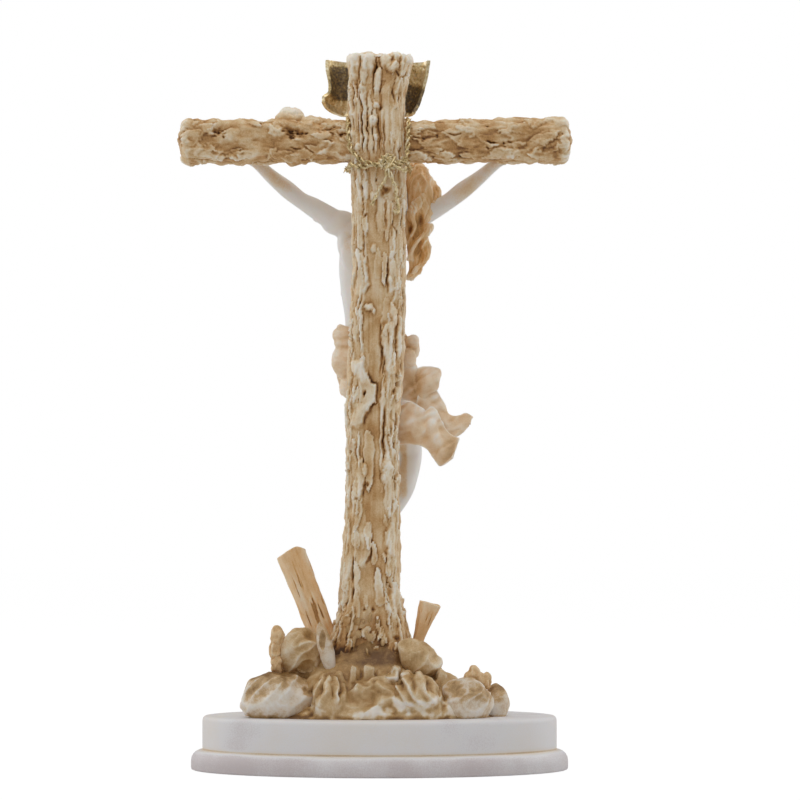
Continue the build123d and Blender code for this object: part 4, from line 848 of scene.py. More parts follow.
def makeMound(settings):
    pick = random.Random(settings["seed"])
    turns = np.linspace(0, 2 * math.pi, settings["sides"], endpoint=False)
    rings = []
    for height, reach in curveThrough(settings["profile"], 4):
        x = settings["middleX"][0] + (settings["middleX"][1] - settings["middleX"][0]) * height
        size = reach * (1 + 0.05 * np.sin(3 * turns + 9 * height) + 0.04 * np.sin(7 * turns - 9 * height))
        rings.append(np.column_stack([x + settings["half"][0] * size * np.cos(turns),
                                      settings["half"][1] * size * np.sin(turns),
                                      np.full(len(turns), settings["baseZ"] + settings["height"] * height)]))
    pieces = [ringMesh("core", rings)]
    pieces += [chipped(centre, radii, number) for number, (centre, radii) in enumerate(settings["blocks"])]
    pieces += [slab(*tooth) for tooth in settings["teeth"]]
    for _ in range(settings["crumbs"]):  # broken bark and grit round the foot of the post
        turn = pick.uniform(0, 2 * math.pi)
        z = pick.uniform(46, 66)
        flare = 1 + 0.5 * math.exp((44 - z) / 9)
        size = pick.uniform(0.6, 1.3)
        pieces.append(lump((4.2 + 12.4 * flare * math.cos(turn), 11.0 * flare * math.sin(turn), z),
                           (size, size, size * pick.uniform(1.2, 3.2)), 2,
                           Matrix.Rotation(pick.uniform(-0.4, 0.4), 4, "Y")))
    mound = moulded("rockMound", pieces, settings["voxel"], 2)
    points, normals = pointsOf(mound), normalsOf(mound)
    flat = points[:, [0, 2]]
    flat = flat + np.column_stack([0.7 * noiseAt(points, 5.0, 6.0, 2), 0.7 * noiseAt(points, 5.0, 8.0, 2)])
    behind = smoothStep(10, 16, points[:, 1]) * smoothStep(-0.2, 0.2, normals[:, 1])
    carved = np.zeros(len(points))
    for line, left, right, rise in settings["ridges"]:
        carved = np.maximum(carved, rise * tentAlong(flat, line, left, right))
    for middle, reach, depth in settings["dents"]:
        away = np.linalg.norm((flat - middle) / reach, axis=1)
        carved -= depth * np.maximum(0, 1 - away ** 2) ** 1.2
    front = (1 - behind) * (1.5 * ridgesAt(points, (8.5, 8.5, 12.0), 1.0)
                            + 0.7 * ridgesAt(points, (3.6, 3.6, 6.0), 2.0) - 0.8)
    calm = 1 - 0.75 * smoothStep(42.5, 45, points[:, 2])
    push = calm * front + behind * carved + (0.3 + 0.2 * calm) * noiseAt(points, (3.4, 3.4, 5.0), 3.0, 3)
    aim = normals + behind[:, None] * (0, 0.5, 0)
    points = points + aim / np.linalg.norm(aim, axis=1)[:, None] * push[:, None]
    points[:, 2] = np.maximum(points[:, 2], settings["floor"])
    movePoints(mound, relaxed(mound, points, 1))
    normals = normalsOf(mound)
    # painted light: the lower upright faces of the rock are paler in patches, as if lit from the floor below,
    # partly also wiped patina; below is the height of their upper edge along x
    below = np.interp(points[:, 0], [-26, -12, -9, -6, -2, 3, 6, 21, 28],
                      [33, 30, 30.5, 32.5, 31.5, 28.0, 26.6, 26.0, 29])
    upright = smoothStep(0.3, 0.8, np.hypot(normals[:, 0], normals[:, 1]))
    bulge = smoothStep(0.6, -1.2, points[:, 2] - below) * upright
    back = smoothStep(-4, 10, points[:, 1])
    toneAndPaintedLight = -0.42 * bulge * smoothStep(0.35 - 0.3 * (1 - back), -0.2 - 0.3 * (1 - back),
                                       noiseAt(points, 6.0, 5.0) + 0.06)
    # painted shade: faces turned up are darker, and so is the foot against the plinth; the front half is
    # paler
    toneAndPaintedLight += (0.12 * smoothStep(0.4, 0.9, normals[:, 2]) - 0.16 * (1 - back)
              + 0.3 * smoothStep(25.0, 23.2, points[:, 2]))
    # painted shade on the smooth slope below the post
    slope = smoothStep(42.6, 45.6, points[:, 2]) * smoothStep(24, 14, np.abs(points[:, 0] - 4))
    storeWash(mound, (7, 0.8), (110, 2.6), extra=0.10 + toneAndPaintedLight + 0.20 * slope)
    return mound


stoneSettings = {  # centre and radii
    "boulder_left": [((41.5, 15.0, 30.3), (16.8, 14.0, 10.6))],
    "boulder_right": [((-35.0, 16.5, 28.9), (11.8, 12.4, 10.2))],
    "end_stone_right": [((-48.0, 7.0, 27.3), (5.8, 6.5, 8.6))],
    "ledge_rock_left": [((32.4, 6.5, 49.0), (9.4, 8.5, 10.2))],
    "ledge_rock_right": [((-15.8, 12.5, 47.0), (8.0, 7.6, 7.4))],
    "upright_shard": [((22.2, 15.5, 51.6), (3.3, 2.6, 11.8))],
    "pebble_stack": [((42.4, 11.0, 44.9), (2.7, 3.0, 4.8)), ((43.1, 11.0, 50.4), (2.4, 2.8, 4.8)),
                     ((42.3, 11.0, 55.8), (2.7, 2.8, 4.8))],
    "pebble_pair": [((-38.9, 13.0, 38.9), (5.0, 3.4, 4.6)), ((-44.3, 13.0, 37.7), (1.8, 2.6, 3.8))],
}
stoneHollows = {"ledge_rock_left": ((28.4, 17.0, 42.6), (6.6, 6.5, 4.4)),
                "upright_shard": ((23.6, 18.6, 55.2), (1.7, 2.2, 5.6))}


def makeStone(node, centre, radii, number):
    size = min(radii)
    stone = moulded(node + "Cast", [chipped(centre, radii, number)], max(0.2, size / 26), 3)
    points = pointsOf(stone) - np.array(centre)
    if node == "upright_shard":  # drawn out to a leaf that leans over
        up = points[:, 2] / radii[2]
        points[:, 0] = points[:, 0] * (1 - 0.35 * smoothStep(0.1, 1, up)) + 2.6 * up
        points[:, 1] *= 1 - 0.3 * smoothStep(0, 1, up)
    if node == "ledge_rock_right":  # a wedge, broad end down to the right
        long, wide = points @ (-0.8, 0, -0.6), points @ (-0.6, 0, 0.8)
        long, wide = long * 1.28, wide * (1 + 0.22 * long / size) * 0.92
        points = np.column_stack([-0.8 * long - 0.6 * wide, points[:, 1], -0.6 * long + 0.8 * wide])
    if node == "pebble_pair" and radii[0] > 3:  # a wedge, edge up
        points[:, 0] *= 1.1 - 0.5 * smoothStep(-0.6, 1, points[:, 2] / radii[2])
    points = points + np.array(centre)
    if node in stoneHollows:
        middle, reach = (np.array(v) for v in stoneHollows[node])
        inside = (points - middle) / reach
        far = np.linalg.norm(inside, axis=1)
        points = np.where((far < 1)[:, None], middle + inside / np.maximum(far, 0.3)[:, None] * reach, points)
    movePoints(stone, relaxed(stone, points, 3))
    points = pointsOf(stone)
    lumpy = {"ledge_rock_left": 0.2, "pebble_stack": 0.28, "pebble_pair": 0.28}.get(node, 0.1)
    bumps = size * (lumpy * noiseAt(points, size * 0.95, number, 1)
                    + 0.018 * noiseAt(points, size * 0.22, number + 4, 2))
    if node.startswith(("ledge", "boulder", "end")):  # carved faces with soft edges between them
        rise = 0.9 if node.startswith("ledge") else 0.6
        bumps += rise * ridgesAt(points @ slant, (11.0, 11.0, 5.0), number) - 0.2
    if node.startswith("pebble"):  # ragged and flaky
        bumps += (0.45 * ridgesAt(points, (3.0, 3.0, 4.6), number) - 0.2
                  + 0.12 * noiseAt(points, (1.2, 1.2, 1.8), number + 7))
    points = points + normalsOf(stone) * bumps[:, None]
    points[:, 2] = np.maximum(points[:, 2], moundSettings["floor"])
    movePoints(stone, points)
    return stone


rockMound = makeMound(moundSettings)
dress(rockMound, rockResin, "washed_rock", "rock_mound")
for number, (node, stones) in enumerate(stoneSettings.items()):
    piece = joinPieces(node + "Cast", [makeStone(node, *stone, number + k) for k, stone in enumerate(stones)])
    points, normals = pointsOf(piece), normalsOf(piece)
    low, high = points[:, 2].min(), points[:, 2].max()
    rise = (points[:, 2] - low) / (high - low)
    pale, pebble = node.startswith(("boulder", "end", "upright")), node.startswith("pebble")
    patches = smoothStep(-0.3, 0.6, noiseAt(points, 7.0, number + 2.0))
    # painted shade: darker tops, and a darker foot where the stone sits; the random brownish patches are the
    # stone's own tone
    toneAndPaintedLight = (0.20 * smoothStep(0.6, 0.95, rise) + 0.24 * smoothStep(0.10, 0.0, rise)
             + 0.24 * patches * smoothStep(0.3, 0.55, rise))
    toneAndPaintedLight = toneAndPaintedLight + 0.02 if pale else 0.3 * toneAndPaintedLight + (-0.06 if pebble else 0.06)
    storeWash(piece, (10, 0.3), (150, 2.4), extra=toneAndPaintedLight)
    dress(piece, stoneResin if pale else pebbleResin if pebble else rockResin,
          "pale_stone" if pale else "washed_rock", node)
print("rock done")


# timber stakes

stakeSettings = {
    "stake_left": {"foot": (20.2, -1.0, 45.9), "lean": 20.7, "roll": 24.0, "width": (10.6, 11.6),
                   "depth": (7.0, 8.0),
                   "length": 50.4, "cuts": [(0.287, 0.0, 1.6), (-0.96, 0.0, -2.0)], "seed": 2},
    "stake_right": {"foot": (-11.7, -1.0, 40.9), "lean": -18.6, "roll": 12.0, "width": (3.6, 8.8),
                    "depth": (3.8, 7.0),
                    "length": 30.6, "cuts": [(-0.12, 0.0, 0.6), (0.05, 0.2, 0.2)], "seed": 6},
}


def makeStake(node, settings, sides=96, rows=150, caps=12):
    along = np.linspace(0, settings["length"], rows)
    turn = math.radians(settings["roll"])
    rings = []
    for z in along:
        share = (z / settings["length"]) ** 2  # widens towards the top
        wide = settings["width"][0] + (settings["width"][1] - settings["width"][0]) * share
        deep = settings["depth"][0] + (settings["depth"][1] - settings["depth"][0]) * share
        flat = softBox(sides, wide / 2, deep / 2, 0.26)
        flat = flat @ np.array([[math.cos(turn), math.sin(turn)], [-math.sin(turn), math.cos(turn)]])
        rings.append(np.column_stack([flat, np.full(sides, z)]))
    for step in range(1, caps + 1):
        rings.append(rings[rows - 1] * (1 - step / (caps + 1), 1 - step / (caps + 1), 1))
    stake = ringMesh(node + "Cast", rings)
    points = pointsOf(stake)
    for slopeX, slopeY, down in settings["cuts"]:
        cut = (settings["length"] - down - slopeX * points[:, 0] * np.sign(settings["lean"])
               - slopeY * points[:, 1])
        points[:, 2] -= np.maximum(points[:, 2] - cut, 0)
    movePoints(stake, points)
    useModifier(stake, "SMOOTH", factor=0.5, iterations=60)
    points = pointsOf(stake)
    seed = settings["seed"]
    grain = (0.12 * ridgesAt(points, (2.6, 2.6, 30.0), seed)
             + 0.08 * noiseAt(points, (0.7, 0.7, 10.0), seed + 1))
    cracks = smoothStep(0.28, 0.5, noiseAt(points, (1.3, 1.3, 16.0), seed + 5))
    cracks = cracks * smoothStep(0.95, 0.6, points[:, 2] / settings["length"])
    grain -= 0.5 * cracks
    grain += 0.55 * noiseAt(points, (5.0, 5.0, 16.0), seed + 2) - 0.1
    ends = smoothStep(settings["length"] - 0.5, settings["length"] - 5, points[:, 2])
    points = points + normalsOf(stake) * (grain * (0.35 + 0.65 * ends))[:, None]
    lean = Matrix.Rotation(math.radians(settings["lean"]), 3, "Y")
    movePoints(stake, points @ np.array(lean).T + np.array(settings["foot"]))
    storeWash(stake, (6, 0.4), (60, 1.6), extra=0.35 * cracks - 0.11)
    return stake


for node, settings in stakeSettings.items():
    dress(makeStake(node, settings), timberResin, "washed_timber", node)
print("stakes done")


# gilded scroll

scrollSettings = {
    "x": 0.6, "frontY": -10.5, "flat": 12.8, "curl": 8.6, "turn": 78.0, "lowZ": 274.4, "highZ": 297.4,
    "across": 150, "up": 60, "thickness": 1.3, "seed": 8,
}


def makeScroll(settings):
    points, faces = [], []
    for i in range(settings["across"] + 1):
        s = 2 * i / settings["across"] - 1
        for k in range(settings["up"] + 1):
            t = k / settings["up"]
            reach = abs(s)
            bend = max(0.0, (reach - 0.56) / 0.44)
            side = 1 if s > 0 else -1
            lip = smoothStep(0.34, 0.16, t)
            if side > 0:
                narrow = 1.06 - 0.15 * smoothStep(0.95, 0.4, t) + 0.33 * lip
            else:
                narrow = 1 - 0.68 * (1 - t) ** 1.6
            turn = math.radians(settings["turn"]) * bend
            x = side * (settings["flat"] * min(reach / 0.56, 1) + settings["curl"] * math.sin(turn) * narrow)
            y = settings["frontY"] + settings["curl"] * (1 - math.cos(turn))
            roll = max(0.0, 0.16 - t) / 0.16 * (0.4 + 0.6 * bend)
            y += 2.2 * roll + 0.2 * math.sin(9 * s + 5 * t)
            low = settings["lowZ"] - 0.8 + (4.4 * bend ** 2 if side > 0 else 1.4 * bend) + 1.4 * roll
            z = low + (settings["highZ"] - low) * t + 0.8 * bend * t * math.sin(3 * s)
            points.append((settings["x"] + x, y, z))
    row = settings["up"] + 1
    for i in range(settings["across"]):
        for k in range(settings["up"]):
            a = i * row + k
            faces.append((a, a + 1, a + row + 1, a + row))
    scroll = makeObject("gildedScrollSheet", points, faces)
    tidyNormals(scroll)
    useModifier(scroll, "SOLIDIFY", thickness=settings["thickness"] * mm, offset=0.0)
    points = pointsOf(scroll)
    dents = 0.5 * noiseAt(points, 5.0, settings["seed"]) + 0.22 * noiseAt(points, 1.6, settings["seed"] + 1)
    movePoints(scroll, points + np.column_stack([0.5 * dents, dents, 0.3 * dents]))
    points = pointsOf(scroll)
    inside = smoothStep(-0.5, -0.1, normalsOf(scroll)[:, 1])
    left = smoothStep(280.0, 281.6, points[:, 2]) * smoothStep(296.0, 295.0, points[:, 2])
    left = left * smoothStep(21.4, 20.4, points[:, 0]) * (points[:, 0] > 9)
    edge = points[:, 2] - 287.0 - 0.45 * (points[:, 0] + 15)
    right = smoothStep(1.2, -0.6, edge) * smoothStep(275.0, 276.4, points[:, 2]) * (points[:, 0] < -9)
    flecks = 0.22 * noiseAt(points, 1.5, 5.0, 3)
    wash = 0.34 + 0.44 * inside * np.maximum(left, right) + flecks
    setWash(scroll, relaxed(scroll, wash[:, None], 3)[:, 0])
    return scroll


gildedScroll = makeScroll(scrollSettings)
dress(gildedScroll, scrollGilt, "gilt_metal", "scroll", smoothAngle=50)
print("scroll done")


# thorny wire lashing

lashSettings = {
    "seed": 21, "wire": 0.52, "twist": 0.66, "pitch": 7.0, "thornEvery": 2.6, "thorn": 1.6,
    # two loops: across the back, up a side of the post, over the beam, down the front, under and back
    "loops": [
        [(-1.0, 13.0, 250.6), (4.8, 12.6, 252.0), (9.0, 11.8, 254.4), (12.2, 9.8, 258.5), (13.0, 8.4, 264.0),
         (13.0, 5.0, 270.4), (12.4, -4.0, 272.4), (9.0, -11.6, 270.0), (1.0, -12.0, 261.0),
         (-8.0, -12.0, 252.4), (-12.4, -5.0, 251.0), (-12.0, 4.0, 251.4), (-11.0, 10.6, 252.6),
         (-7.0, 12.8, 251.8), (-1.0, 13.0, 250.6)],
        [(0.0, 13.2, 251.8), (-5.2, 12.9, 252.0), (-10.6, 11.4, 253.4), (-11.6, 9.8, 258.6),
         (-11.9, 8.4, 264.4), (-11.9, 5.0, 270.4), (-11.4, -4.0, 271.8), (-7.0, -11.6, 269.6),
         (1.0, -12.8, 261.6), (9.0, -12.4, 252.8), (13.4, -5.0, 251.0), (12.8, 3.0, 251.2),
         (11.8, 9.8, 251.6), (6.6, 12.8, 250.4), (0.0, 13.2, 251.8)],
    ],
    "knot": (-3.2, 13.6, 252.0), "knotSize": (3.4, 1.2, 3.4), "knotWires": 14,
    "tails": [
        [(-3.4, 14.2, 250.0), (-2.6, 13.8, 246.6), (-1.6, 13.2, 243.6), (0.6, 12.9, 240.4),
         (2.0, 12.8, 237.0), (3.4, 12.8, 234.0)],
        [(-3.4, 14.2, 250.0), (-4.6, 13.6, 246.4), (-6.4, 13.0, 242.4), (-7.2, 12.8, 238.0),
         (-7.8, 12.8, 233.8), (-7.2, 12.9, 231.0), (-6.2, 13.0, 232.4)],
        [(-3.6, 13.8, 252.6), (-7.0, 13.6, 250.4), (-10.6, 12.8, 248.6), (-11.2, 12.8, 250.2)],
    ],
}


def thornyWires(path, settings, pick, count=2):
    line = curveThrough(path, 10)
    steps = np.linalg.norm(np.diff(line, axis=0), axis=1)
    run = np.concatenate([[0], np.cumsum(steps)])
    places = np.arange(0, run[-1], 0.9)
    line = np.column_stack([np.interp(places, run, line[:, axis]) for axis in range(3)])
    aim = np.gradient(line, axis=0)
    aim /= np.linalg.norm(aim, axis=1)[:, None]
    side = np.cross(aim, (0.31, 0.42, 0.85))
    side /= np.linalg.norm(side, axis=1)[:, None]
    deep = np.cross(aim, side)
    pieces = []
    for number in range(count):
        turn = places / settings["pitch"] * 2 * math.pi + number * 2 * math.pi / count
        wobble = np.array([[pick.gauss(0, 0.2) for _ in range(3)] for _ in places])
        swing = np.cos(turn)[:, None] * side + np.sin(turn)[:, None] * deep
        wire = line + settings["twist"] * swing + wobble
        pieces.append(strand(wire, settings["wire"], None, 6, 1))
        for i in range(2, len(places) - 2):
            if pick.random() < 0.9 / settings["thornEvery"]:
                angle = pick.uniform(0, 2 * math.pi)
                out = math.cos(angle) * side[i] + math.sin(angle) * deep[i] + pick.uniform(-0.5, 0.5) * aim[i]
                tip = wire[i] + out * settings["thorn"] * pick.uniform(0.6, 1.1)
                thorn = [wire[i], (wire[i] + tip) / 2, tip]
                pieces.append(strand(thorn, settings["wire"] * 0.85, 0.06, 5, 1))
    return pieces


def makeKnot(settings, pick):
    pieces = []
    centre, size = np.array(settings["knot"]), np.array(settings["knotSize"])
    for _ in range(settings["knotWires"]):
        path = [centre + size * np.array([pick.uniform(-1, 1) for _ in range(3)]) for _ in range(4)]
        pieces.append(strand(path, settings["wire"], 0.3, 6, 4))
    for tail in settings["tails"]:
        pieces += thornyWires(tail, {**settings, "twist": 0.32, "thornEvery": 4.2, "thorn": 1.2}, pick)
    return pieces


def flatWash(piece, value):
    setWash(piece, value + 0.34 * noiseAt(pointsOf(piece), 1.6, 3.0, 2))


lashPick = random.Random(lashSettings["seed"])
wireLoops = joinPieces("thornWireLoops",
                       [w for path in lashSettings["loops"]
                        for w in thornyWires(path, lashSettings, lashPick)])
flatWash(wireLoops, 0.4)
dress(wireLoops, wireGilt, "gilt_metal", "lashing_loops")
wireKnot = joinPieces("thornWireKnot", makeKnot(lashSettings, lashPick))
flatWash(wireKnot, 0.35)
dress(wireKnot, wireGilt, "gilt_metal", "lashing_knot")
print("lashing done")


# figure: torso, arms and legs run together, the head made apart at a finer grain

bodySettings = {
    "voxel": 0.44, "handVoxel": 0.22, "footVoxel": 0.24, "middleX": 3.6,
    # stations of each limb: x, y, z, half width and half depth
    "limbs": [
        [(3.6, -17.4, 154, 10.2, 6.2), (3.6, -17.4, 165, 12.4, 7.4), (3.6, -17.0, 177, 11.6, 6.7),
         (3.6, -17.0, 188, 11.2, 6.6), (3.7, -18.0, 200, 12.8, 7.8), (3.5, -18.6, 212, 14.0, 8.3),
         (3.0, -18.4, 223, 12.8, 7.4), (2.0, -18.6, 231, 7.6, 5.4)],
        [(1.6, -18.4, 230, 5.8, 5.2), (-1.4, -20.4, 238, 4.7, 4.8), (-6.6, -25.0, 244, 4.6, 4.8)],
        [(0.0, -16.8, 236, 3.4, 3.6), (7.5, -16.8, 230.6, 4.0, 4.2), (13.0, -17.2, 227.6, 4.6, 4.8)],
        [(-1.0, -16.8, 236, 3.4, 3.6), (-5.0, -16.8, 231.0, 4.0, 4.2), (-8.0, -17.2, 228.0, 4.6, 4.8)],
        [(12.0, -18.0, 226.4, 5.8, 5.8), (19.5, -17.6, 231.0, 4.9, 4.9), (28.0, -17.2, 236.4, 4.2, 4.4),
         (33.6, -16.8, 239.6, 3.5, 3.5), (39.5, -15.8, 244.2, 3.7, 3.5), (46.0, -14.0, 249.4, 3.0, 2.8),
         (51.5, -12.6, 254.4, 2.5, 2.1), (54.0, -12.0, 256.6, 3.0, 1.9)],
        [(-5.2, -18.0, 226.4, 5.8, 5.8), (-13.0, -17.6, 230.6, 4.9, 4.9), (-22.0, -17.2, 235.2, 4.2, 4.4),
         (-28.6, -16.8, 238.8, 3.5, 3.5), (-35.0, -15.8, 243.6, 3.7, 3.5), (-42.0, -14.0, 248.8, 3.0, 2.8),
         (-48.4, -12.6, 254.2, 2.5, 2.1), (-51.0, -12.0, 256.4, 3.0, 1.9)],
        [(9.6, -17.2, 164, 6.8, 7.2), (5.8, -22.6, 150, 6.7, 7.0), (1.0, -28.6, 137, 5.5, 5.7),
         (-1.4, -30.4, 131.6, 4.9, 5.2), (0.0, -27.4, 124, 4.7, 4.9), (1.0, -22.8, 116, 4.9, 5.1),
         (2.2, -17.4, 106, 3.5, 3.7), (2.8, -14.6, 99.5, 2.8, 3.0)],
        [(-2.6, -17.2, 164, 6.8, 7.2), (-8.0, -23.2, 150, 6.7, 7.0), (-12.0, -29.2, 137, 5.5, 5.7),
         (-13.0, -30.8, 131.6, 4.9, 5.2), (-11.8, -28.8, 124, 4.7, 4.9), (-9.0, -25.4, 116, 4.8, 5.1),
         (-3.8, -21.2, 106, 3.5, 3.7), (-0.2, -18.8, 99.5, 2.8, 3.0)],
    ],
    # muscles and bones: centre and radii
    "lumps": [
        ((9.6, -23.6, 218.0), (6.6, 3.6, 5.2)), ((-2.6, -23.6, 218.0), (6.6, 3.6, 5.2)),
        ((3.6, -22.6, 189), (6.4, 2.2, 12)), ((12.6, -19.0, 203), (4.2, 6.0, 9)),
        ((-5.4, -19.0, 203), (4.2, 6.0, 9)), ((3.6, -20.4, 170), (9.0, 4.6, 6.5)),
        ((11.0, -13.4, 216), (5.6, 3.2, 8)), ((-4.0, -13.4, 216), (5.6, 3.2, 8)),
        ((-1.6, -33.6, 132), (3.4, 2.4, 3.6)), ((-13.2, -34.0, 132), (3.4, 2.4, 3.6)),
        ((2.6, -12.2, 101), (2.4, 2.6, 3.0)), ((-0.6, -17.0, 101.6), (2.4, 2.4, 3.0)),
        ((24.0, -19.6, 232.4), (5.0, 2.4, 2.6)), ((-17.6, -19.6, 231.6), (5.0, 2.4, 2.6)),
        ((17.0, -17.4, 229.9), (8.0, 5.4, 5.5)), ((-10.2, -17.4, 229.7), (8.0, 5.4, 5.5)),
        ((14.4, -17.0, 221.5), (3.8, 5.0, 7.5)), ((-7.4, -17.0, 221.5), (3.8, 5.0, 7.5)),
    ],
    # presses: centre, radius and depth
    "presses": [
        ((3.6, -25.0, 184.5), 1.1, 0.9), ((3.6, -25.5, 200), 3.6, 1.0), ((3.6, -26.0, 221), 1.6, 0.9),
        ((3.6, -26.0, 215), 1.4, 1.0), ((3.6, -24.5, 194), 1.1, 0.6), ((3.6, -24.5, 189), 1.0, 0.5),
        ((9.4, -22.6, 204.5), 3.0, 0.8), ((-2.2, -22.6, 204.5), 3.0, 0.8), ((10.2, -22.4, 181), 3.4, 0.9),
        ((-3.0, -22.4, 181), 3.4, 0.9), ((1.4, -22.4, 231.6), 1.8, 1.4), ((8.0, -20.6, 230.0), 2.6, 1.0),
        ((-4.4, -20.6, 230.4), 2.6, 1.0),
    ],
    "ribs": [(197, 5.4), (201.5, 7.0), (206, 8.2), (210, 9.2)],
    "footLimbs": [
        [(2.8, -14.2, 99.0, 2.9, 3.0), (2.6, -13.2, 94.0, 3.2, 2.6), (2.2, -12.6, 88.0, 3.9, 2.1),
         (2.0, -12.2, 84.6, 3.8, 1.6)],
        [(-0.2, -18.6, 99.0, 2.9, 3.0), (0.6, -17.8, 94.0, 3.2, 2.6), (1.2, -17.2, 88.0, 3.9, 2.1),
         (1.4, -16.8, 84.6, 3.8, 1.6)],
    ],
    "hands": [((57.0, -11.9, 259.0), 1), ((-54.0, -11.9, 259.0), -1)],
    "feet": [((2.0, -12.0, 84.0), 1), ((1.4, -16.6, 84.0), -1)],
}


def makeHand(palm, side):
    # an open hand, palm to the front, fingers a little curled round the nail
    palm = np.array(palm)
    out = np.array([side * 0.82, 0.0, 0.57])
    up = np.array([-side * 0.57, 0.0, 0.82])
    front = np.array([0.0, -1.0, 0.0])
    stations = [(*(palm - out * 4.6), 2.5, 1.8), (*(palm - out * 1.6), 3.9, 1.9),
                (*(palm + out * 2.0), 4.0, 1.6)]
    pieces = [limb(stations, up, 14, 4)]
    for shift, reach in ((2.9, 5.0), (1.0, 6.0), (-0.9, 5.8), (-2.7, 4.6)):
        root = palm + out * 2.0 + up * shift
        bend = root + out * reach * 0.55 + front * 0.6
        tip = bend + out * reach * 0.30 + front * 2.2 - up * 0.2 * shift
        pieces.append(strand([root, (root + bend) / 2 + front * 0.1, bend, tip], 1.02, 0.78, 10, 4))
    root = palm - out * 2.6 + up * 2.8
    thumb = [root, root + up * 1.9 + out * 1.4 + front * 0.9, root + up * 2.0 + out * 4.0 + front * 1.8]
    pieces.append(strand(thumb, 1.3, 0.85, 10, 4))
    return pieces


def makeToes(middle, side):
    middle = np.array(middle)
    pieces = []
    for toe in range(5):
        shift = side * (-3.0 + 1.62 * toe - (0.3 if toe == 0 else 0))
        size = 1.1 if toe == 0 else 0.78 - 0.05 * toe
        root = middle + (shift * 0.9, 0.3, 2.4)
        tip = -6.2 + 0.6 * toe - (0 if toe else 0.4)
        line = [root, middle + (shift, -0.6, 0.4 + tip * 0.45), middle + (shift, 0.0, 1.6 + tip)]
        pieces.append(strand(line, size, size * 0.86, 10, 4))
    return pieces


def makeBody(settings):
    pieces = [limb(stations, sides=22) for stations in settings["limbs"]]
    pieces += [lump(centre, radii, 3) for centre, radii in settings["lumps"]]
    body = moulded("castFigure", pieces, settings["voxel"], 7)
    points = pointsOf(body)
    normals = normalsOf(body)
    push = np.zeros(len(points))
    for centre, radius, depth in settings["presses"]:
        far = np.linalg.norm((points - centre) * (1, 0.5, 1), axis=1)
        push -= 1.5 * depth * np.exp(-(far / radius) ** 2)
    front = smoothStep(-18.6, -22.6, points[:, 1])
    away = np.abs(points[:, 0] - settings["middleX"])
    for z, half in settings["ribs"]:
        line = z - 0.28 * (away - half)
        push += (0.8 * front * np.exp(-((points[:, 2] - line) / 1.3) ** 2)
                 * smoothStep(half - 4.5, half, away) * (points[:, 2] > 190))
    push -= (0.5 * front * np.exp(-(away / 0.8) ** 2)
             * smoothStep(176, 182, points[:, 2]) * smoothStep(224, 216, points[:, 2]))
    for z in (191.5, 197.5):
        push -= 0.35 * front * np.exp(-((points[:, 2] - z) / 0.8) ** 2) * smoothStep(7, 4, away)
    movePoints(body, relaxed(body, points + normals * push[:, None], 2))
    points = pointsOf(body)
    # painted warm shade where the figure lies against the wood: its back, the sides of the arms turned to the
    # beam, and the inner edge of the leg by the post
    paintedShadeByWood = smoothStep(-13.5, -10.5, points[:, 1]) * 0.22
    arms = (smoothStep(212, 222, points[:, 2]) * smoothStep(9, 16, np.abs(points[:, 0]))
            * smoothStep(-0.3, 0.5, normalsOf(body)[:, 1]))
    paintedShadeByWood += arms * np.where(points[:, 0] < 0, 0.26, 0.16)
    # painted shade on the inner edge of the leg by the post
    inner = (smoothStep(-13.0, -10.6, points[:, 0]) * smoothStep(140, 134, points[:, 2])
             * smoothStep(108, 118, points[:, 2]))  # leg by the post
    paintedShadeByWood += 0.42 * inner * smoothStep(-30, -26, points[:, 1]) * smoothStep(-6.0, -8.0, points[:, 0])
    storeWash(body, (8, 0.4), (90, 2.2), extra=paintedShadeByWood - 0.10)
    return body


def makeEnds(settings):
    pieces = [part for palm, side in settings["hands"] for part in makeHand(palm, side)]
    hands = moulded("castHands", pieces, settings["handVoxel"], 4)
    pieces = [limb(stations, sides=22) for stations in settings["footLimbs"]]
    pieces += [part for middle, side in settings["feet"] for part in makeToes(middle, side)]
    feet = moulded("castFeet", pieces, settings["footVoxel"], 4)
    for piece in (hands, feet):
        storeWash(piece, (6, 0.3), (60, 1.6), extra=-0.10)
    return hands, feet


castFigure = makeBody(bodySettings)
dress(castFigure, skinResin, "figure_marble", "torso", "left_arm", "right_arm", "left_leg", "right_leg")
for piece in makeEnds(bodySettings):
    dress(piece, skinResin, "figure_marble")
print("body done")


# head, in its own frame: facing -y, eyes at z 0, then tilted onto the neck

headPlace = (Matrix.Translation(Vector((-11.0, -30.0, 246.0))) @ Matrix.Rotation(math.radians(24), 4, "X")
             @ Matrix.Rotation(math.radians(-24), 4, "Y"))


def placeHead(piece):
    movePoints(piece, pointsOf(piece) @ np.array(headPlace.to_3x3()).T + np.array(headPlace.translation))


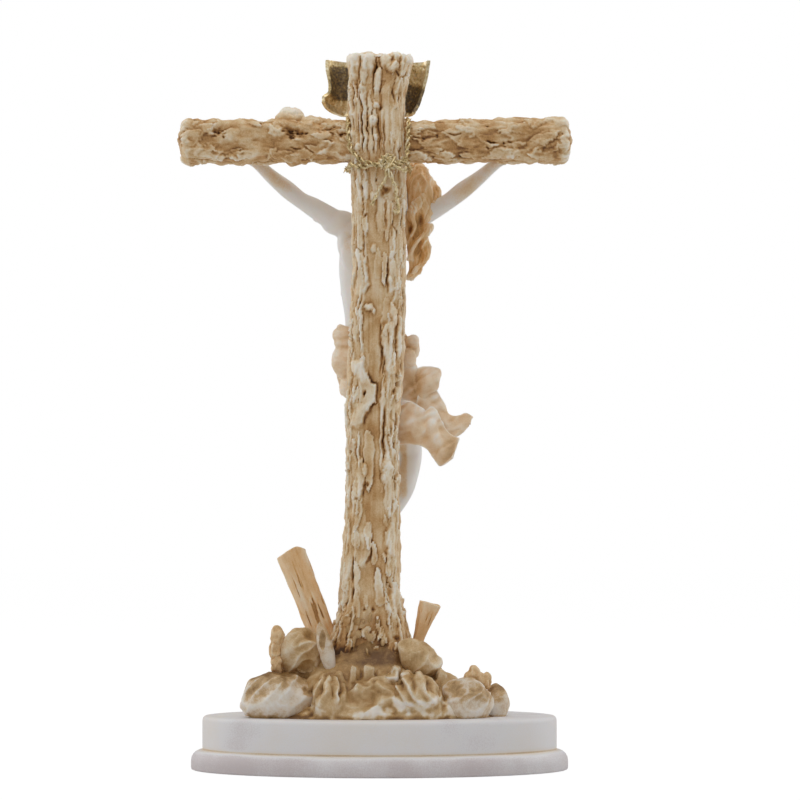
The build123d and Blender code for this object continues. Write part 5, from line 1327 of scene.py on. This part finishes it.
headSettings = {
    "voxel": 0.2,
    "lumps": [
        ((0, 1.2, 3.0), (7.0, 8.2, 7.4)), ((0, -2.4, -2.4), (5.7, 5.6, 7.4)),
        ((0, -3.0, -6.2), (4.5, 4.6, 4.0)), ((0, -7.2, -9.0), (1.7, 1.5, 1.5)),
        ((3.9, -5.6, -2.2), (2.3, 2.0, 1.9)), ((-3.9, -5.6, -2.2), (2.3, 2.0, 1.9)),
        ((3.0, -6.3, 0.0), (1.75, 1.5, 1.35)), ((-3.0, -6.3, 0.0), (1.75, 1.5, 1.35)),
        ((1.15, -8.2, -3.5), (0.85, 0.95, 0.75)), ((-1.15, -8.2, -3.5), (0.85, 0.95, 0.75)),
        ((6.9, 0.8, -0.6), (0.9, 1.7, 2.3)), ((-6.9, 0.8, -0.6), (0.9, 1.7, 2.3)),
    ],
    "limbs": [
        ([(0, -7.2, 2.2, 0.95, 0.8), (0, -8.2, -0.6, 0.85, 0.9), (0, -9.2, -2.8, 1.0, 1.1),
          (0, -9.2, -3.5, 0.95, 0.9)],
         (1, 0, 0)),
        ([(4.9, -5.3, 1.6, 0.6, 0.5), (3.0, -6.2, 2.2, 0.65, 0.5), (1.2, -6.8, 1.8, 0.5, 0.5)], (0, 0, 1)),
        ([(-4.9, -5.3, 1.6, 0.6, 0.5), (-3.0, -6.2, 2.2, 0.65, 0.5), (-1.2, -6.8, 1.8, 0.5, 0.5)], (0, 0, 1)),
        ([(-2.1, -6.9, -5.9, 0.35, 0.4), (-0.8, -7.8, -5.55, 0.55, 0.6), (0.8, -7.8, -5.55, 0.55, 0.6),
          (2.1, -6.9, -5.9, 0.35, 0.4)], (0, 0, 1)),
        ([(-1.8, -6.9, -6.4, 0.4, 0.4), (0, -7.8, -6.9, 0.7, 0.65), (1.8, -6.9, -6.4, 0.4, 0.4)], (0, 0, 1)),
        ([(0, 0.5, -3, 4.3, 4.3), (0.5, 2.0, -9, 4.4, 4.4), (1.6, 3.6, -13, 4.6, 4.6)], (1, 0, 0)),
    ],
    # presses: centre, radius and depth
    "presses": [((1.5, -8.2, 0.4), 0.9, 0.7), ((-1.5, -8.2, 0.4), 0.9, 0.7), ((4.7, -6.4, 0.2), 0.9, 0.35),
                ((-4.7, -6.4, 0.2), 0.9, 0.35), ((0, -8.4, -8.0), 0.9, 0.45), ((0, -8.2, -4.7), 0.5, 0.35),
                ((0.5, -8.8, -4.2), 0.35, 0.4), ((-0.5, -8.8, -4.2), 0.35, 0.4)],
}


def makeHead(settings):
    pieces = [lump(centre, radii, 4) for centre, radii in settings["lumps"]]
    pieces += [limb(stations, side, 14, 5) for stations, side in settings["limbs"]]
    head = moulded("castHead", pieces, settings["voxel"], 5)
    points = pointsOf(head)
    push = np.zeros(len(points))
    for centre, radius, depth in settings["presses"]:
        push -= depth * np.exp(-(np.linalg.norm(points - centre, axis=1) / radius) ** 2)
    away = np.abs(points[:, 0])
    lidLine = -0.55 + 0.10 * (away - 3.0) ** 2
    onEye = (points[:, 1] < -5.5) * np.exp(-((away - 3.0) / 1.5) ** 4)
    push -= 0.32 * onEye * np.exp(-((points[:, 2] - lidLine) / 0.22) ** 2)
    push -= 0.30 * onEye * np.exp(-((points[:, 2] - 1.25 + 0.12 * (away - 3.0) ** 2) / 0.30) ** 2)
    onMouth = (points[:, 1] < -6.0) * np.exp(-(away / 2.0) ** 4)
    push -= 0.4 * onMouth * np.exp(-((points[:, 2] + 6.15 - 0.04 * away ** 2) / 0.22) ** 2)
    movePoints(head, points + normalsOf(head) * push[:, None])
    storeWash(head, (6, 0.25), (60, 1.2), extra=-0.08)
    placeHead(head)
    return head


castHead = makeHead(headSettings)
dress(castHead, skinResin, "figure_marble", "head")
print("head done")


# hair, beard and crown of thorns

hairSettings = {
    "voxel": 0.3, "seed": 14, "rows": 15, "centre": (0.0, 1.2, 3.0), "radii": (7.9, 9.2, 8.3),
    # the mass under the locks: place, half width and half depth
    "mass": [(-15.5, -21, 251, 5.5, 4), (-17.6, -17, 244, 5.6, 3.6), (-16.6, -14.6, 236.5, 4.8, 3),
             (-14.8, -13.2, 229, 3.4, 2.4), (-14.8, -12.6, 222, 3.4, 2.2), (-15.6, -12.4, 216, 3.4, 2.0),
             (-14.8, -12.3, 211, 2.4, 1.6), (-12.8, -12.2, 206.8, 0.9, 0.9)],
    # locks in the part's own frame: points, first and last radius
    "locks": [
        ([(-19.0, -23, 250), (-23.0, -19.0, 243.5), (-22.0, -16.0, 237.5), (-19.0, -14.0, 232),
          (-16.8, -12.6, 226.5), (-17.8, -12.2, 221), (-18.6, -12.2, 215), (-17.0, -12.2, 210.6),
          (-13.2, -12.2, 206.4)], 2.2, 1.3),
        ([(-17.0, -21, 250), (-20.0, -17.0, 244), (-19.0, -14.6, 237), (-16.4, -13.0, 231),
          (-14.6, -12.2, 225), (-15.4, -11.6, 219), (-16.2, -11.6, 214), (-14.6, -12.0, 209.4),
          (-12.6, -12.2, 206.2)], 2.4, 1.3),
        ([(-14.5, -20, 250), (-16.8, -15.4, 244), (-15.4, -13.2, 237), (-13.6, -12.2, 230),
          (-13.0, -11.8, 223), (-13.6, -11.4, 217), (-13.4, -11.6, 211), (-12.4, -12.0, 206.6)], 2.4, 1.2),
        ([(-18.0, -12.8, 240.5), (-14.8, -10.8, 236.0), (-13.2, -10.2, 231.6), (-15.2, -10.0, 227.8),
          (-13.6, -10.0, 223.8)], 1.6, 0.8),
        ([(-21.0, -13.0, 228.0), (-19.4, -10.8, 225.6), (-16.6, -9.8, 222.0), (-14.0, -9.6, 218.2),
          (-12.6, -9.8, 213.6)], 1.5, 0.9),
        ([(-18.6, -11.2, 222.6), (-19.4, -10.6, 218.6), (-19.0, -10.2, 214.4), (-16.6, -10.0, 210.6),
          (-12.9, -10.4, 207.4)], 1.5, 1.0),
        ([(-16, -27, 248), (-22.4, -23.0, 243.0), (-21.6, -19.4, 236.5), (-17.6, -17.4, 231.0)], 2.2, 1.0),
        ([(-9, -22, 251), (-8.0, -17.4, 245), (-7.6, -14.2, 238), (-9.0, -12.6, 230)], 2.3, 1.0),
        ([(-4.6, -25, 247), (-2.0, -21.4, 240), (1.2, -22.8, 233.6), (0.2, -25.4, 226.6),
          (2.6, -26.0, 220.6)], 1.9, 0.7),
        ([(-5.0, -28, 246), (-3.2, -25.0, 239), (-0.6, -25.8, 232.0), (-2.0, -27.0, 225.6)], 1.7, 0.7),
        ([(-3.6, -23, 246), (1.0, -18.4, 240), (5.0, -19.6, 234.4), (5.6, -23.2, 228.0)], 1.8, 0.7),
        ([(-18.4, -32, 242), (-20.4, -30.0, 236), (-17.0, -29.6, 230), (-18.0, -28.4, 224)], 1.8, 0.7),
        ([(-19.0, -29, 244), (-22.4, -26.0, 239), (-20.4, -25.0, 235), (-19.6, -24.6, 231.6)], 1.9, 0.7),
    ],
    # dark hollows between the locks: middle and half sizes in x and z
    "gaps": [((-16.4, 216.8), (1.7, 2.6)), ((-13.0, 226.4), (1.0, 1.8)), ((-17.4, 230.8), (1.2, 3.0))],
}


def makeHair(settings):
    pick = random.Random(settings["seed"])
    centre, radii = np.array(settings["centre"]), np.array(settings["radii"])
    capped = []
    for side in (-1, 1):
        for row in range(settings["rows"]):
            start = -62 + 142 * row / (settings["rows"] - 1)
            line = []
            for step in range(8):
                theta = math.radians(4 + step * 17)
                phi = math.radians(start + 10 * math.sin(step / 7 * math.pi)
                                   + 16 * step / 7 * (1 if start < 0 else 0.2))
                swell = 1 + 0.045 * math.sin(step * 2.1 + row * 1.7) + pick.uniform(-0.02, 0.02)
                way = np.array([side * math.sin(theta) * math.cos(phi), math.sin(phi),
                                math.cos(theta) * math.cos(phi)])
                line.append(centre + radii * way * swell)
            capped.append(strand(line, 1.25, 0.9, 8, 4))
    shell = lump(centre + (0, 1.4, 0.6), radii * (0.96, 0.86, 0.96), 4)
    points = pointsOf(shell)
    points[:, 1] = np.where(points[:, 1] < -3.4, -3.4 + 0.1 * (points[:, 1] + 3.4), points[:, 1])
    movePoints(shell, points)
    cap = joinPieces("hairCap", capped + [shell])
    placeHead(cap)
    pieces = [cap, limb(settings["mass"])]
    for line, start, end in settings["locks"]:
        path = curveThrough(line, 3)
        for k in range(5):
            turn = 2 * math.pi * k / 5 + pick.uniform(0, 0.6)
            spread = np.linspace(start, end, len(path)) * 0.62
            spin = turn + np.linspace(0, pick.uniform(1.2, 2.4), len(path))
            wave = 0.35 * np.sin(np.linspace(0, 9, len(path)) + k)
            moved = path + np.column_stack([np.cos(spin) * spread + wave, np.sin(spin) * spread * 0.8,
                                            0.25 * np.sin(spin) * spread])
            pieces.append(strand(moved, start * 0.66, end * 0.6, 8, 2))
    hair = moulded("castHair", pieces, settings["voxel"], 2)
    points = pointsOf(hair)
    bent = points + np.column_stack([2.2 * np.sin(points[:, 2] / 5.0), np.zeros((len(points), 2))])
    combed = 0.8 * ridgesAt(bent, (3.4, 3.4, 22.0), 1.0) + 0.2 * ridgesAt(bent, (1.3, 1.3, 12.0), 2.0) - 0.35
    movePoints(hair, points + normalsOf(hair) * combed[:, None])
    points = pointsOf(hair)
    hollow = np.zeros(len(points))
    for middle, reach in settings["gaps"]:
        near = np.exp(-(((points[:, [0, 2]] - middle) / reach) ** 2).sum(1))
        hollow += near * smoothStep(-14.0, -11.5, points[:, 1])
    points[:, 1] -= 1.6 * hollow
    movePoints(hair, points)
    storeWash(hair, (5, 0.25), (50, 1.3), extra=0.26 * hollow - 0.03)
    return hair


beardSettings = {"voxel": 0.22, "seed": 9, "strands": 21}


def makeBeard(settings):
    pick = random.Random(settings["seed"])
    pieces = [lump((0, -4.6, -9.4), (4.4, 3.4, 2.6), 4)]
    for k in range(settings["strands"]):
        share = 2 * k / (settings["strands"] - 1) - 1
        root = np.array([5.4 * share, -2.2 - 5.2 * math.sqrt(1 - share * share),
                         -5.4 - 3.0 * (1 - abs(share)) + 1.5 * abs(share)])
        fork = 1.4 if share > 0 else -1.4
        tip = np.array([2.0 * share + fork, -6.0 - 1.2 * (1 - abs(share)),
                        -14.0 + 2.2 * abs(share) + pick.uniform(-0.5, 0.5)])
        bend = (root + tip) / 2 + (0.8 * share, -1.0, pick.uniform(-0.4, 0.4))
        pieces.append(strand([root, bend, tip], 0.85, 0.3, 8, 5))
    for side in (-1, 1):  # moustache and sideburns
        for k in range(3):
            lip = [(side * 0.4, -8.3, -4.9 + 0.2 * k), (side * 1.9, -7.9, -5.3 - 0.15 * k),
                   (side * 3.3, -6.5, -6.9 - 0.5 * k), (side * 3.5, -5.8, -8.6)]
            cheek = [(side * 5.9, -1.4, -1.5 - k), (side * 5.3, -3.0, -4.6 - k),
                     (side * 4.0, -5.0, -7.4 - 0.6 * k)]
            pieces += [strand(lip, 0.5, 0.3, 8, 5), strand(cheek, 0.7, 0.5, 8, 5)]
    beard = moulded("castBeard", pieces, settings["voxel"], 2)
    storeWash(beard, (5, 0.2), (40, 0.9))
    placeHead(beard)
    return beard


crownSettings = {"centre": (0.0, 1.2, 5.2), "radii": (8.5, 9.6), "tilt": -0.16, "seed": 4, "thorns": 34,
                 "canes": 4, "cane": 0.55, "voxel": 0.22}


def makeCrown(settings):
    pick = random.Random(settings["seed"])
    pieces = []
    turns = np.linspace(0, 2 * math.pi, 73)
    base = np.column_stack([settings["radii"][0] * np.cos(turns), settings["radii"][1] * np.sin(turns),
                            settings["tilt"] * settings["radii"][1] * np.sin(turns)])
    base += settings["centre"]
    for k in range(settings["canes"]):
        spin = 7 * turns + k * math.pi / 2
        out = np.column_stack([np.cos(turns), np.sin(turns), np.zeros_like(turns)])
        line = base + 0.85 * np.cos(spin)[:, None] * out
        line = line + 0.85 * np.sin(spin)[:, None] * np.array([0, 0, 1.0])
        pieces.append(strand(line, settings["cane"], None, 8, 1))
    for _ in range(settings["thorns"]):
        i = pick.randrange(0, 72)
        aim = np.array([math.cos(turns[i]), math.sin(turns[i]), pick.uniform(-0.8, 0.9)])
        aim += [pick.uniform(-0.5, 0.5) for _ in range(3)]
        aim /= np.linalg.norm(aim)
        thorn = [base[i], base[i] + aim * 1.6, base[i] + aim * pick.uniform(2.6, 3.8)]
        pieces.append(strand(thorn, 0.45, 0.08, 6, 2))
    crown = moulded("castCrown", pieces, settings["voxel"], 1)
    storeWash(crown, (4, 0.2), (30, 0.8))
    placeHead(crown)
    return crown


castHair = makeHair(hairSettings)
dress(castHair, hairResin, "washed_hair", "hair")
castBeard = makeBeard(beardSettings)
dress(castBeard, hairResin, "washed_hair", "beard")
castCrown = makeCrown(crownSettings)
dress(castCrown, thornResin, "washed_thorns", "crown_of_thorns")
print("hair and crown done")


# loincloth with its flying end

clothSettings = {
    "voxel": 0.45, "centre": (3.6, -17.6), "half": (15.0, 10.0), "lowZ": 157.0, "highZ": 185.0,
    "columns": 220, "rows": 80,
    # bulges at the figure's left hip: centre and radii
    "hip": [((15.2, -14.5, 182.0), (5.0, 6, 3.8)), ((14.4, -14.5, 178.8), (4.9, 6, 3.6)),
            ((13.4, -14.5, 171.2), (7.0, 7, 8.2)), ((12.6, -14.5, 160.6), (4.6, 6, 5.4))],
    # knot at the right hip, and its lumps: shift from there and radii
    "knot": (-12.6, -17.0, 177.0),
    "knotLumps": [((0, 0, 0), (4.4, 4.2, 5.0)), ((-1.4, 3.4, 2.4), (2.8, 3.2, 3.2)),
                  ((-1.0, -3.0, -1.4), (3.2, 3.0, 3.8)), ((0.6, 4.6, -5.0), (3.6, 3.0, 4.6))],
}


def makeCloth(settings):
    rings = []
    turns = np.linspace(0, 2 * math.pi, settings["columns"], endpoint=False)
    for row in range(settings["rows"] + 1):
        t = row / settings["rows"]
        z = settings["lowZ"] + (settings["highZ"] - settings["lowZ"]) * t
        swell = 1 - 0.20 * (1 - t) ** 2 - 0.10 * t ** 3
        away = np.abs(np.abs(turns - math.pi) - math.pi)  # 0 at the figure's left, pi at the knot
        phase = 5.2 * np.arctan2((t - 0.72) * 2.0, away + 0.25) + 1.6 * np.sin(2 * turns)
        fold = 1.35 * (np.abs(np.sin(phase * 1.6)) ** 0.8 - 0.5) + 0.5 * np.sin(9 * turns + 7 * t)
        sag = 2.6 * np.sin(turns + 0.5) * (1 - t) - 1.8 * np.cos(2 * turns) * (1 - t)
        x = settings["centre"][0] + (settings["half"][0] * swell + fold) * np.cos(turns)
        y = settings["centre"][1] + (settings["half"][1] * swell + fold) * np.sin(turns)
        rings.append(np.column_stack([x, np.minimum(y, -9.0), z + sag]))
    pieces = [ringMesh("wrap", rings)]
    (midX, midY), (halfX, halfY) = settings["centre"], settings["half"]
    # rolls of the upper edge, in front
    for z, out, size in ((183.6, 0.2, 2.0), (180.6, 0.9, 1.8), (177.2, 0.5, 1.5)):
        line = [(midX + (halfX + out - 1.4) * math.cos(a),
                 min(-9.6, midY + (halfY + out - 1.2) * math.sin(a)),
                 z + 1.6 * math.sin(a + 0.7) + 1.2 * math.cos(a))
                for a in np.linspace(math.pi * 1.06, math.pi * 1.9, 21)]
        pieces.append(strand(line, size, None, 10, 2))
    pieces += [lump(centre, radii, 4) for centre, radii in settings["hip"]]
    pieces += [lump(np.array(settings["knot"]) + shift, radii, 3) for shift, radii in settings["knotLumps"]]
    wrap = moulded("castLoincloth", pieces, settings["voxel"], 4)
    points = pointsOf(wrap)
    movePoints(wrap, points + normalsOf(wrap) * (0.35 * noiseAt(points, (5, 5, 3), 2.0))[:, None])
    storeWash(wrap, (8, 0.4), (90, 2.0))
    return wrap


# sheets of the flying end, in columns from the hip to the free edge:
# x and z of the upper rim, x and z of the lower rim, y of the upper rim, the middle and the lower rim
tailSettings = {
    "near": [(-7.1, 151.0, -7.1, 135.5, -6.5, -4.2, -6.0), (-12.7, 153.1, -11.9, 135.8, -5.2, -2.4, -5.0),
             (-16.8, 151.0, -16.1, 135.3, -4.4, -1.6, -3.6), (-19.1, 149.5, -19.3, 133.9, -4.8, -2.0, -2.8),
             (-22.0, 151.2, -21.5, 131.8, -4.6, -0.4, -2.2), (-24.9, 146.2, -23.3, 129.1, -4.6, -0.2, -1.2),
             (-28.9, 139.8, -25.5, 126.3, -3.6, 0.4, -0.6), (-33.4, 137.6, -30.5, 129.7, -3.0, -0.8, 0.4)],
    "far": [(-17.0, 163.0, -14.4, 146.0, -14.0, -11.0, -10.0),
            (-22.8, 159.6, -20.0, 142.0, -13.6, -9.8, -9.0), (-26.4, 153.0, -26.0, 139.6, -13.0, -8.4, -7.6),
            (-28.9, 148.2, -30.5, 138.6, -12.6, -8.0, -6.6), (-33.5, 147.3, -33.0, 139.2, -12.0, -7.2, -6.4),
            (-36.6, 148.2, -35.4, 140.9, -11.6, -7.6, -6.6), (-38.9, 146.7, -37.6, 143.2, -11.0, -8.4, -7.2)],
    "upper": [(-8.0, 180.0, -8.0, 155.0, -15.5, -12.5, -13.0),
              (-13.2, 176.5, -13.0, 154.0, -14.5, -11.4, -13.0),
              (-14.8, 168.0, -16.4, 152.5, -14.5, -11.2, -13.0),
              (-18.8, 168.2, -18.0, 152.4, -14.5, -9.2, -12.0),
              (-22.6, 168.0, -20.4, 155.0, -14.5, -9.4, -13.0),
              (-24.9, 167.2, -22.4, 158.4, -14.6, -10.6, -13.2),
              (-25.5, 164.8, -23.8, 160.6, -14.4, -12.0, -13.4)],
    "thickness": 1.2, "fine": 12,
}


def makeSheet(name, columns):
    rows = []
    for topX, topZ, lowX, lowZ, *depths in columns:
        y = np.interp(np.linspace(0, 1, 5), (0, 0.5, 1), depths)
        rows.append(np.column_stack([np.linspace(topX, lowX, 5), y, np.linspace(topZ, lowZ, 5)]))
    grid = curveThrough([row.ravel() for row in rows], tailSettings["fine"]).reshape(-1, 5, 3)
    grid = np.array([curveThrough(line, tailSettings["fine"]) for line in grid])
    wide, deep = grid.shape[:2]
    faces = [(i * deep + k, i * deep + k + 1, (i + 1) * deep + k + 1, (i + 1) * deep + k)
             for i in range(wide - 1) for k in range(deep - 1)]
    sheet = makeObject(name, grid.reshape(-1, 3), faces)
    tidyNormals(sheet)
    points = pointsOf(sheet)
    folds = 0.7 * noiseAt(points, 6.0, 6.0, 2) + 0.5 * ridgesAt(points @ slant, (9.0, 9.0, 4.0), 2.0)
    movePoints(sheet, points + normalsOf(sheet) * folds[:, None])
    useModifier(sheet, "SOLIDIFY", thickness=tailSettings["thickness"] * mm, offset=0.0)
    tidyNormals(sheet)
    return sheet


castCloth = makeCloth(clothSettings)
dress(castCloth, clothResin, "washed_cloth", "loincloth")
upperTail = makeSheet("castTailUpper", tailSettings["upper"])
lowerTail = joinPieces("castTailLower", [makeSheet(name, tailSettings[name]) for name in ("near", "far")])
for piece, node, (x, z) in ((upperTail, "cloth_tail_upper", (-15.0, 163.0)),
                            (lowerTail, "cloth_tail_lower", (-29.0, 131.5))):
    points = pointsOf(piece)
    storeWash(piece, (8, 0.4), (90, 1.6),
              extra=0.24 * np.exp(-((points[:, 0] - x) ** 2 + (points[:, 2] - z) ** 2) / 24))
    dress(piece, clothResin, "washed_cloth", node, smoothAngle=45)
print("cloth done")


# nails and pins, which stay as built

for node in ("hand_nails", "foot_nail", "scroll_pins"):
    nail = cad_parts[node]
    nail.data.materials.clear()
    nail.data.materials.append(ironDark)


# camera, floor and light

cameraSettings = {"x": -8.5, "distance": 1300.0, "height": 100.0, "aimZ": 154.0, "viewWidth": 334.4}


def makeCamera(settings):
    place = Vector((settings["x"], settings["distance"], settings["height"])) * mm
    aim = Vector((settings["x"], 0, settings["aimZ"])) * mm
    data = bpy.data.cameras.new("camera")
    camera = bpy.data.objects.new("camera", data)
    scene.collection.objects.link(camera)
    camera.location = place
    camera.rotation_euler = (aim - place).to_track_quat("-Z", "Y").to_euler()
    data.sensor_width = 36.0
    data.lens = data.sensor_width * (aim - place).length / (settings["viewWidth"] * mm)
    data.clip_start, data.clip_end = 0.01, 50.0
    scene.camera = camera


lampSettings = [  # name, place in metres, size, watts
    ("sideLeft", (1.0, -0.45, 0.5), 0.9, 4.0),
    ("sideRight", (-1.0, -0.45, 0.5), 0.9, 4.0),
    ("topBox", (0.0, 0.25, 1.2), 0.9, 4.5),
    ("fill", (0.7, 1.6, 0.7), 1.2, 3.0),
]


def makeLamps(settings):
    for name, place, size, watts in settings:
        data = bpy.data.lights.new(name, "AREA")
        data.size, data.energy = size, watts
        lamp = bpy.data.objects.new(name, data)
        scene.collection.objects.link(lamp)
        lamp.location = place
        lamp.rotation_euler = (Vector((0, 0, 0.16)) - Vector(place)).to_track_quat("-Z", "Y").to_euler()


def makeStage():
    bpy.ops.object.select_all(action="DESELECT")
    bpy.ops.mesh.primitive_plane_add(size=12.0)
    floor = bpy.context.active_object
    floor.name = "floor"
    material, tree, shader = newMaterial("whitePaperFloor")
    shader.inputs["Base Color"].default_value = (0.8, 0.8, 0.8, 1)
    shader.inputs["Roughness"].default_value = 0.9
    path = addNode(tree, "LightPath")
    seen = addNode(tree, "Math", {"operation": "MULTIPLY", 1: 0.9}, {0: path.outputs["Is Camera Ray"]})
    white = addNode(tree, "Emission", {"Color": (1, 1, 1, 1), "Strength": 1.08})
    mixed = addNode(tree, "MixShader", links={0: seen.outputs[0], 1: shader.outputs[0], 2: white.outputs[0]})
    tree.links.new(mixed.outputs[0], tree.nodes["Material Output"].inputs["Surface"])
    floor.data.materials.append(material)
    world = bpy.data.worlds.new("whiteRoom")
    scene.world = world
    world.use_nodes = True
    tree = world.node_tree
    path = addNode(tree, "LightPath")
    clear = addNode(tree, "Math", {"operation": "MAXIMUM"},
                    {0: path.outputs["Is Camera Ray"], 1: path.outputs["Is Transmission Ray"]})
    strength = addNode(tree, "MapRange", {"To Min": 0.32, "To Max": 1.0}, {"Value": clear.outputs[0]})
    tree.links.new(strength.outputs["Result"], tree.nodes["Background"].inputs["Strength"])
    tree.nodes["Background"].inputs["Color"].default_value = (1, 1, 1, 1)


makeCamera(cameraSettings)
makeLamps(lampSettings)
makeStage()
scene.view_settings.view_transform = "Standard"
print("camera and light done")
